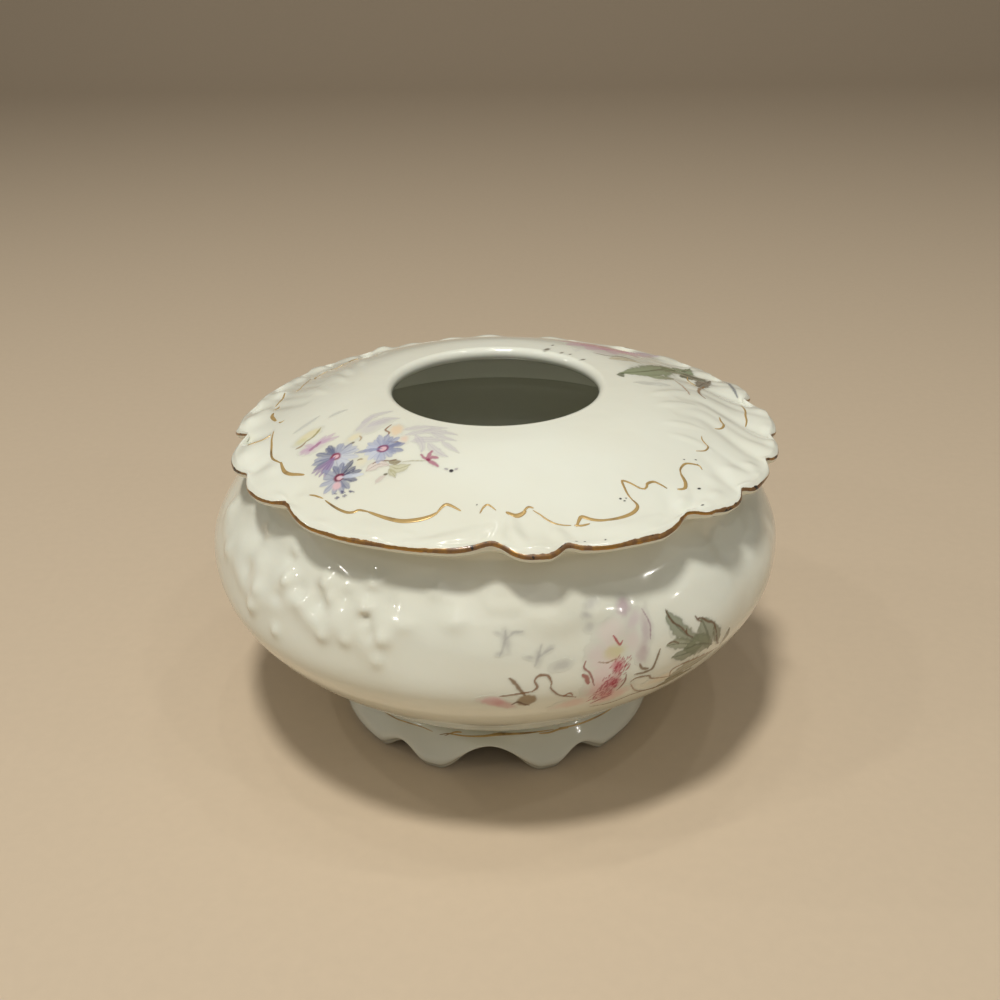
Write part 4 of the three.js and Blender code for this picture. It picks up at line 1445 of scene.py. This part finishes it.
def paintLidRose():
    # a pink rose with its leaves, on the right of the lid's back
    enamel = Enamel(6, 50.5, -5, 47, 0.17, 9)
    pink = (216, 152, 180)
    deep = (188, 98, 140)
    enamel.wash(23.5, 31, (8.6, 13), -12, (238, 212, 220), 0.75, 0.5)
    for angle in range(0, 360, 30):
        enamel.petal(23.4, 30, angle + 8, 10.5, 6.0, (226, 174, 196), 0.55, 0.3, 0.6)
    for angle in range(0, 360, 45):
        enamel.petal(23.2, 30, angle, 7.2, 4.4, pink, 0.7, 0.35, 0.6)
    for angle in range(20, 380, 60):
        enamel.petal(23.2, 29.6, angle, 4.4, 2.8, deep, 0.75, 0.4, 0.6)
    enamel.wash(23.2, 29.6, (2.0, 2.2), 0, (162, 62, 108), 0.8, 0.5)
    enamel.wash(32, 36, (4.2, 6), -12, (208, 178, 202), 0.65, 0.6)
    enamel.leaf([(23.6, 14.2), (26.8, 16.2), (29.8, 15)], 2.8, (222, 212, 180), (140, 116, 78), 0.7)
    enamel.stroke([(20.5, 18), (23.5, 16.6), (26, 18.2), (29, 17)], 0.5, (112, 100, 66), 0.8)
    green = (136, 150, 108)
    dark = (82, 92, 62)
    enamel.leaf([(25.3, 5.4), (29, 7.8), (33, 13), (37, 21)], 5.6, green, dark, 0.85)
    enamel.leaf([(30, 6), (32.6, 6.6), (35.6, 9.6)], 2.6, (156, 166, 126), dark, 0.8)
    enamel.leaf([(34.5, 14), (38, 20), (41, 26)], 5.6, (124, 140, 100), dark, 0.85)
    enamel.leaf([(37.5, 13), (41, 17), (43.8, 20)], 4.0, (98, 102, 72), (66, 62, 44), 0.85)
    enamel.leaf([(40, 9.6), (42.2, 13.6), (44, 17.4)], 2.4, (102, 88, 66), (70, 58, 42), 0.8)
    enamel.leaf([(25.3, 5.4), (24.8, 4.2), (25.2, 3)], 1.4, dark, dark, 0.8)
    enamel.leaf([(27, 0.6), (30.4, 1.3), (34, 3)], 1.6, (210, 212, 200), (184, 182, 172), 0.5)
    enamel.stroke([(34.6, 8), (36.6, 5.2), (37.4, 0.6)], 0.45, (188, 148, 112), 0.75)
    enamel.stroke([(41.8, 11.4), (40.6, 8.4), (39.6, 4), (40.4, 1.4)], 0.6, (148, 110, 66), 0.85)
    enamel.stroke([(47.2, 20), (47.7, 15.6), (48.3, 10)], 0.7, (112, 118, 128), 0.75)
    # worn dark marks along the lip of the hole
    for at, radius, size in lipMarks:
        x, y = fromAxis(at, radius)
        enamel.wash(x, y, (size, size * 0.5), at - 90, (96, 88, 72), 0.8, 0.7)
    # the colours stop short of the rim
    widest = lid["radius"] - enamelLook["rimGap"]
    enamel.cover *= 1 - ease(widest - enamelLook["rimFade"], widest, np.hypot(enamel.x, enamel.y))
    return enamel


# the specks' azimuth, radius and half-size
lidSpecks = [
    (45.8, 47.9, 0.42),
    (27.5, 44.2, 0.3),
    (28, 44.8, 0.24),
    (28.8, 44.4, 0.16),
    (33.5, 43.2, 0.22),
    (51.6, 42.2, 0.2),
    (54.2, 43.4, 0.26),
    (53, 44.2, 0.16),
    (13.8, 51.6, 0.34),
    (15.2, 51.8, 0.24),
    (41.6, 51.8, 0.3),
    (-4.5, 42.1, 0.18),
    (19, 51.9, 0.2),
]


def paintSpecks():
    # dark specks that were fired into the glaze of the lid's front
    enamel = Enamel(-6, 40, -54, -24, 0.12, 7)
    for at, radius, size in lidSpecks:
        x, y = fromAxis(at, radius)
        enamel.wash(x + gilding["right"], y, (size, size * 0.7), 30, (34, 30, 36), 0.95, 0.35)
    return enamel


# the bowl's sprays are laid out in millimetres round the belt and along the outline of the belly
beltDegree = math.radians(enamelLook["beltRadius"])
bellyRun = np.concatenate([[0], np.cumsum(np.hypot(*np.diff(belly, axis=0).T))])
bellyRun += enamelLook["beltHeight"] - np.interp(enamelLook["beltHeight"], belly[:, 1], bellyRun)


def beltSpot(azimuth, height):
    # a place on the flat sheet that the sprays are painted on
    return azimuth * beltDegree, float(np.interp(height, belly[:, 1], bellyRun))


def onBelt(*places):
    return [beltSpot(azimuth, height) for azimuth, height in places]


def paintBowlRose():
    # a rose spray on the right of the bowl's front
    enamel = Enamel(-7, 50, 27, 55, 0.16, 3)
    # pale shadow leaves behind the spray
    grey = (186, 184, 176)
    for at, up, size, turn, strength in [
        (1.5, 45.9, (0.9, 2.4), 8, 0.5),
        (0.4, 44, (1.3, 0.7), 20, 0.4),
        (3.4, 47, (1.6, 0.45), 0, 0.4),
        (0.2, 47, (1.0, 0.4), -20, 0.3),
        (7.0, 43, (0.8, 1.8), -8, 0.5),
        (5.6, 43.1, (1.2, 0.5), -10, 0.4),
        (8.8, 44, (1.3, 0.5), 30, 0.4),
        (11.2, 41.3, (2.6, 1.1), 10, 0.5),
        (17.4, 49.8, (1.9, 1.2), 25, 0.5),
        (16.4, 48.4, (1.4, 0.9), -30, 0.55),
        (16.9, 46.6, (1.3, 1.2), 30, 0.45),
    ]:
        enamel.wash(*beltSpot(at, up), size, turn, grey, strength, 0.85)
    for points in [
        onBelt((0.4, 43.6), (1.3, 45.6), (1.5, 47.4)),
        onBelt((1.4, 46), (3, 47), (4.6, 47.1)),
        onBelt((6.4, 41.6), (7.2, 43.4), (7.8, 45)),
        onBelt((7, 43), (8.6, 43.8), (9.8, 44.2)),
    ]:
        enamel.stroke(points, 0.5, (172, 170, 162), 0.35)
    # petals of the rose, the shaded ones first
    mauve = (198, 174, 182)
    for at, up, size, turn, colour, strength in [
        (23.8, 48.5, (2.0, 2.3), 0, mauve, 0.75),
        (25.4, 46, (2.8, 2.0), 40, (222, 204, 206), 0.6),
        (27.4, 44, (1.5, 4.6), -12, (196, 174, 178), 0.6),
        (26.2, 40.6, (1.6, 2.8), -14, (188, 162, 164), 0.55),
        (20.2, 45.2, (4.4, 2.9), 28, (240, 224, 216), 0.55),
        (17.4, 42, (2.8, 3.6), -24, (234, 212, 208), 0.5),
        (24.6, 43.4, (2.6, 3.0), 0, (236, 218, 212), 0.55),
        (20.8, 41.9, (3.1, 1.7), 5, (220, 210, 160), 0.8),
        (18.4, 38.2, (3.6, 4.4), 0, (238, 212, 208), 0.7),
        (17, 35.6, (3.4, 3.2), 20, (232, 190, 184), 0.65),
        (13, 33.2, (4.6, 1.9), 10, (230, 192, 178), 0.6),
        (20.6, 33.2, (4.6, 2.3), 20, (226, 178, 168), 0.65),
        (21.3, 39.2, (1.6, 2.1), -20, (200, 92, 110), 0.8),
        (20.4, 36.6, (2.4, 2.8), -22, (200, 98, 112), 0.85),
        (18.6, 34, (2.5, 1.8), -10, (206, 112, 116), 0.75),
    ]:
        enamel.wash(*beltSpot(at, up), size, turn, colour, strength, 0.8)
    # crimson hatching down the heart of the rose
    crimson = (168, 46, 66)
    hatches = 170
    for i in range(hatches):
        share = enamel.random.uniform()
        at = 22.2 - 5 * share + enamel.random.uniform(-1.8, 1.8)
        up = 40.2 - 7.6 * share + enamel.random.uniform(-0.8, 0.8)
        x, y = beltSpot(at, up)
        turn = math.radians(enamel.random.uniform(15, 70))
        length = enamel.random.uniform(0.4, 0.9)
        end = (x + length * math.cos(turn), y + length * math.sin(turn))
        enamel.stroke([(x, y), end], 0.24, crimson, 0.6)
    # fine strokes, which are laid last: the path, the width and the colour
    fine = [
        (onBelt((20.8, 44.8), (21.3, 43.9), (21.9, 43), (22.5, 43.6)), 0.5, (176, 58, 66)),
        (onBelt((17.6, 40.9), (19.2, 40.5), (21, 40.8)), 0.26, (150, 116, 80)),
        (onBelt((15.4, 41.5), (15, 40.4), (16, 39.2), (16.7, 36.8)), 0.45, (146, 74, 62)),
        (onBelt((14.7, 39.2), (15.4, 38.4), (15.6, 37.4)), 1.0, (160, 80, 68)),
        (onBelt((22.8, 37.6), (22.4, 36), (21.2, 34.4)), 0.4, (140, 78, 62)),
        (onBelt((16.8, 32), (18.4, 32.8), (20.4, 33.6)), 0.5, (146, 56, 58)),
        (onBelt((27.6, 47.3), (28.4, 45), (28, 42.4)), 0.3, (170, 146, 150)),
    ]
    # the bud with its brown leaf and tendril
    x, y = beltSpot(-1, 35.5)
    enamel.wash(x, y, (3.6, 1.3), -6, (226, 172, 172), 0.7, 0.7)
    enamel.wash(x + 2, y - 0.8, (2.4, 1.2), -20, (214, 150, 150), 0.55, 0.7)
    enamel.wash(*beltSpot(4.7, 35.4), (1.8, 1.5), 15, (146, 116, 70), 0.85, 0.35)
    brown = (130, 86, 44)
    fine += [
        (onBelt((2, 39.9), (3.2, 38.7), (4, 37.4), (4.6, 36.6)), 0.75, (126, 94, 56)),
        (onBelt((0.3, 36.6), (2.8, 36.9), (5.9, 37.3)), 0.4, brown),
        (onBelt((2.4, 34.6), (3.4, 35.2), (4.4, 34.6), (5.4, 34.2)), 0.5, (96, 60, 34)),
        (onBelt((5.9, 37.3), (6.7, 38.1), (6.2, 39.2)), 0.45, brown),
        (onBelt((6.2, 39.2), (7, 40), (8.5, 39.9), (9.2, 38.6)), 0.55, brown),
        (onBelt((9.2, 38.6), (9.1, 37.5), (10.5, 36), (12.2, 35.4), (13.6, 34.9)), 0.4, brown),
        (onBelt((11.2, 35.6), (12.4, 36.1), (13, 35.3)), 0.35, (150, 90, 50)),
    ]
    # green leaves with brown edges
    green = (134, 140, 112)
    dark = (92, 96, 70)
    enamel.wash(*beltSpot(30.5, 33.6), (5.0, 1.5), 0, (222, 202, 166), 0.55, 0.7)
    for points, width, colour in [
        (onBelt((32.2, 46), (33.4, 43.6), (35.6, 41.2), (38.4, 39.2)), 3.0, green),
        (onBelt((31.2, 40.6), (34, 40.2), (37.6, 38.8)), 2.2, (150, 154, 124)),
        (onBelt((32.3, 38), (35.4, 37.8), (39, 38)), 2.4, (122, 130, 98)),
        (onBelt((39, 43), (39.8, 41), (40.6, 38.4), (41, 36.4)), 4.4, green),
        (onBelt((35, 38.8), (38.4, 38.6), (41.8, 37)), 4.0, (128, 136, 104)),
        (onBelt((42.2, 41), (42.8, 38.8), (43.8, 36.4)), 2.2, (118, 116, 84)),
        (onBelt((47, 38), (46.6, 36.4), (45.6, 34.6)), 1.5, (104, 94, 62)),
        (onBelt((32.6, 32.4), (37, 34), (43.6, 34.2)), 3.4, (124, 116, 66)),
        (onBelt((30.6, 30.6), (35, 31.6), (40, 31.8)), 2.2, (136, 122, 72)),
    ]:
        enamel.leaf(points, width, colour, dark, 0.78)
    fine += [
        (onBelt((32, 46.4), (32.8, 44.4), (34.2, 43.2), (35.4, 41.6)), 0.45, (108, 78, 52)),
        (onBelt((35.4, 42.6), (35.4, 41.6), (36.6, 40.6)), 0.35, (112, 80, 54)),
        (onBelt((38.2, 43.4), (39.2, 43.2), (40.4, 42.2), (41.8, 41.4), (42.6, 39)), 0.45, (108, 76, 48)),
        (onBelt((37.8, 44), (38.2, 43.2), (39, 42.6)), 0.4, (112, 80, 54)),
        (onBelt((42.6, 38.6), (43.4, 36.8), (44.6, 35.6)), 0.5, (96, 74, 46)),
        (onBelt((31.2, 40.8), (32.4, 41), (33.6, 40.4)), 0.4, (116, 92, 66)),
        (onBelt((29.7, 40.4), (28.8, 38.6), (28, 37.2), (26.4, 36.9), (24.4, 37.1)), 0.5, (116, 88, 50)),
        (onBelt((25.4, 38.8), (26, 37.8), (27.2, 37.4)), 0.6, (122, 92, 56)),
        (onBelt((23.7, 35.7), (24.8, 36.2), (27.4, 35.8), (28.4, 34.8), (33, 33.2)), 0.4, (132, 98, 58)),
        (onBelt((33, 33.2), (32.6, 34.9), (35.2, 35.5), (40.4, 34.9), (45, 34.3)), 0.45, (128, 92, 52)),
        (onBelt((23.8, 35.2), (25.4, 32.8), (27.8, 31.4), (32, 30.4)), 0.4, (138, 104, 64)),
        (onBelt((17, 30.8), (21, 30.4), (25.6, 31.4), (30, 31), (35, 30.4)), 0.35, (132, 92, 56)),
    ]
    for points, width, colour in fine:
        enamel.stroke(points, width, colour, 0.85)
    return enamel


def gridIndices(places, columns, rows):
    # which column and row of the painted sheet each point of a flat grid from -1 to 1 belongs to
    i = np.rint((places[:, 0] + 1) / 2 * (columns - 1)).astype(int)
    j = np.rint((places[:, 1] + 1) / 2 * (rows - 1)).astype(int)
    return i, j


def enamelPiece(name, body, enamel, place, material):
    # the painted part of a stretch of glaze, as a film over the porcelain
    columns, rows = enamel.x.shape
    bm = bmesh.new()
    bmesh.ops.create_grid(bm, x_segments=columns - 1, y_segments=rows - 1, size=1)
    kept = enamel.cover > enamelLook["least"]
    i, j = gridIndices(np.array([v.co for v in bm.verts]), columns, rows)
    bare = [face for face in bm.faces if not any(kept[i[v.index], j[v.index]] for v in face.verts)]
    bmesh.ops.delete(bm, geom=bare, context="FACES")
    for edge in bm.edges:
        edge.smooth = not edge.is_boundary
    mesh = meshFrom(bm, name)
    i, j = gridIndices(vertexPlaces(mesh), columns, rows)
    moveVertices(mesh, place(enamel.x[i, j], enamel.y[i, j]))
    storeValues(mesh, "paint", np.concatenate([enamel.colour[i, j], np.ones((len(i), 1))], 1))
    storeValues(mesh, "cover", enamel.cover[i, j])
    piece = finishPiece(mesh, name, body, material)
    film = piece.modifiers.new("film", "SOLIDIFY")
    film.thickness = enamelLook["film"] * mm
    film.offset = -1
    print(name, len(mesh.polygons), "faces")


def lidSpot(x, y):
    return crownSurface(np.degrees(np.arctan2(x, -y)), np.hypot(x, y), enamelLook["lidOut"])


def asterSpot(x, y):
    return lidSpot(x + enamelLook["astersRight"], y)


def frontSpot(x, y, turn=0):
    return bellySurface(x / beltDegree + turn, np.interp(y, bellyRun, belly[:, 1]), enamelLook["bowlOut"])


def backSpot(x, y):
    return frontSpot(x, y, 180)


def buildPainting(material):
    enamelPiece("lidAsters", "lid", paintAsters(), asterSpot, material)
    enamelPiece("lidRose", "lid", paintLidRose(), lidSpot, material)
    enamelPiece("lidSpecks", "lid", paintSpecks(), lidSpot, material)
    spray = paintBowlRose()
    enamelPiece("bowlRose", "bowl", spray, frontSpot, material)
    enamelPiece("backRose", "bowl", spray, backSpot, material)


# Stage: floor, lamps and camera

# lengths of the stage and places of the lamps are in metres
stage = {
    "colour": (206, 188, 162),
    "darker": 0.94,
    "grain": 400.0,
    "roughness": 0.7,
    "halfWidth": 3.0,
    "near": -1.6,
    "back": 1.5,
    "bend": 0.5,
    "top": 2.4,
}


def buildStage():
    # a pale sheet that runs along the floor and bends up behind
    look = stage
    profile = [(look["near"], 0.0)]
    for angle in [math.radians(degrees) for degrees in range(0, 91, 6)]:
        away = look["back"] - look["bend"] + look["bend"] * math.sin(angle)
        profile.append((away, look["bend"] * (1 - math.cos(angle))))
    profile.append((look["back"], look["top"]))
    bm = bmesh.new()
    verts = [bm.verts.new((-look["halfWidth"], away, up)) for away, up in profile]
    edges = [bm.edges.new(pair) for pair in zip(verts, verts[1:])]
    swept = bmesh.ops.extrude_edge_only(bm, edges=edges)["geom"]
    moved = [part for part in swept if isinstance(part, bmesh.types.BMVert)]
    bmesh.ops.translate(bm, verts=moved, vec=(2 * look["halfWidth"], 0, 0))
    bmesh.ops.recalc_face_normals(bm, faces=bm.faces)
    material, tree, shader, add = nodeTools("floorPaper")
    grain = noiseNode(add, add("ShaderNodeTexCoord").outputs["Object"], look["grain"], 4.0)
    colour = mixColours(add, grain, shaded(look["colour"], look["darker"]), screen(*look["colour"]))
    tree.links.new(colour, shader.inputs["Base Color"])
    shader.inputs["Roughness"].default_value = look["roughness"]
    addObject("floor", meshFrom(bm, "floor"), material)


# the light all round, and what every lamp has
studio = {
    "colour": (1.0, 0.98, 0.95, 1),
    "strength": 0.16,
    "lampColour": (1.0, 0.97, 0.92),
    "aimHeight": 0.04,
}

# each lamp's place, its width and its power in watts
lamps = [
    ("keyLamp", (-0.09, -0.27, 0.9), 0.12, 4.8),
    ("frontFill", (0.12, -0.95, 1.05), 0.9, 1.6),
    ("rightGlint", (0.34, -0.30, 0.8), 0.022, 0.3),
    ("leftGlint", (-0.42, -0.16, 0.75), 0.022, 0.3),
    ("overLeftGlint", (-0.12, 0.0, 0.9), 0.03, 0.3),
    ("overRightGlint", (0.26, 0.0, 0.85), 0.022, 0.25),
    ("overBackGlint", (0.02, 0.06, 0.92), 0.022, 0.25),
    ("lowLeftGlint", (-0.6, -0.3, 0.5), 0.022, 0.22),
    ("sideLeftGlint", (-0.65, 0.08, 0.52), 0.022, 0.22),
    ("lowRightGlint", (0.7, -0.35, 0.42), 0.022, 0.22),
]


def addLamp(name, place, size, power):
    data = bpy.data.lights.new(name, "AREA")
    data.shape = "DISK"
    data.size = size
    data.energy = power
    data.color = studio["lampColour"]
    lamp = bpy.data.objects.new(name, data)
    lamp.location = place
    aim = Vector((0, 0, studio["aimHeight"])) - Vector(place)
    lamp.rotation_euler = aim.to_track_quat("-Z", "Y").to_euler()
    bpy.context.scene.collection.objects.link(lamp)


def buildLights():
    world = bpy.data.worlds.new("studio")
    bpy.context.scene.world = world
    world.use_nodes = True
    background = world.node_tree.nodes["Background"]
    background.inputs["Color"].default_value = studio["colour"]
    background.inputs["Strength"].default_value = studio["strength"]
    for name, place, size, power in lamps:
        addLamp(name, place, size, power)


# the camera's place is in millimetres, its turns are in degrees
camera = {
    "sensor": 36.0,
    "focalPixels": 1150.0,
    "pictureWidth": 1000.0,
    "right": -0.5,
    "back": -209.4,
    "up": 150.2,
    "pitch": -26.76,
    "yaw": -0.31,
    "roll": -0.65,
    "clipStart": 0.01,
}


def buildCamera():
    data = bpy.data.cameras.new("camera")
    data.sensor_width = camera["sensor"]
    data.lens = camera["sensor"] * camera["focalPixels"] / camera["pictureWidth"]
    data.clip_start = camera["clipStart"]
    view = bpy.data.objects.new("camera", data)
    turned = Matrix.Rotation(math.radians(camera["yaw"]), 4, "Z")
    tilted = Matrix.Rotation(math.radians(90 + camera["pitch"]), 4, "X")
    rolled = Matrix.Rotation(math.radians(camera["roll"]), 4, "Z")
    place = Vector((camera["right"], camera["back"], camera["up"])) * mm
    view.matrix_world = Matrix.Translation(place) @ turned @ tilted @ rolled
    bpy.context.scene.collection.objects.link(view)
    bpy.context.scene.camera = view
    print("floor, lamps and camera placed")


glaze = makeGlaze()
gold = makeGold()
buildBowl(glaze)
buildLid(glaze)
buildGilding(gold)
buildPainting(glaze)
buildStage()
buildLights()
buildCamera()
bpy.context.scene.view_settings.view_transform = "Standard"
bpy.context.view_layer.update()
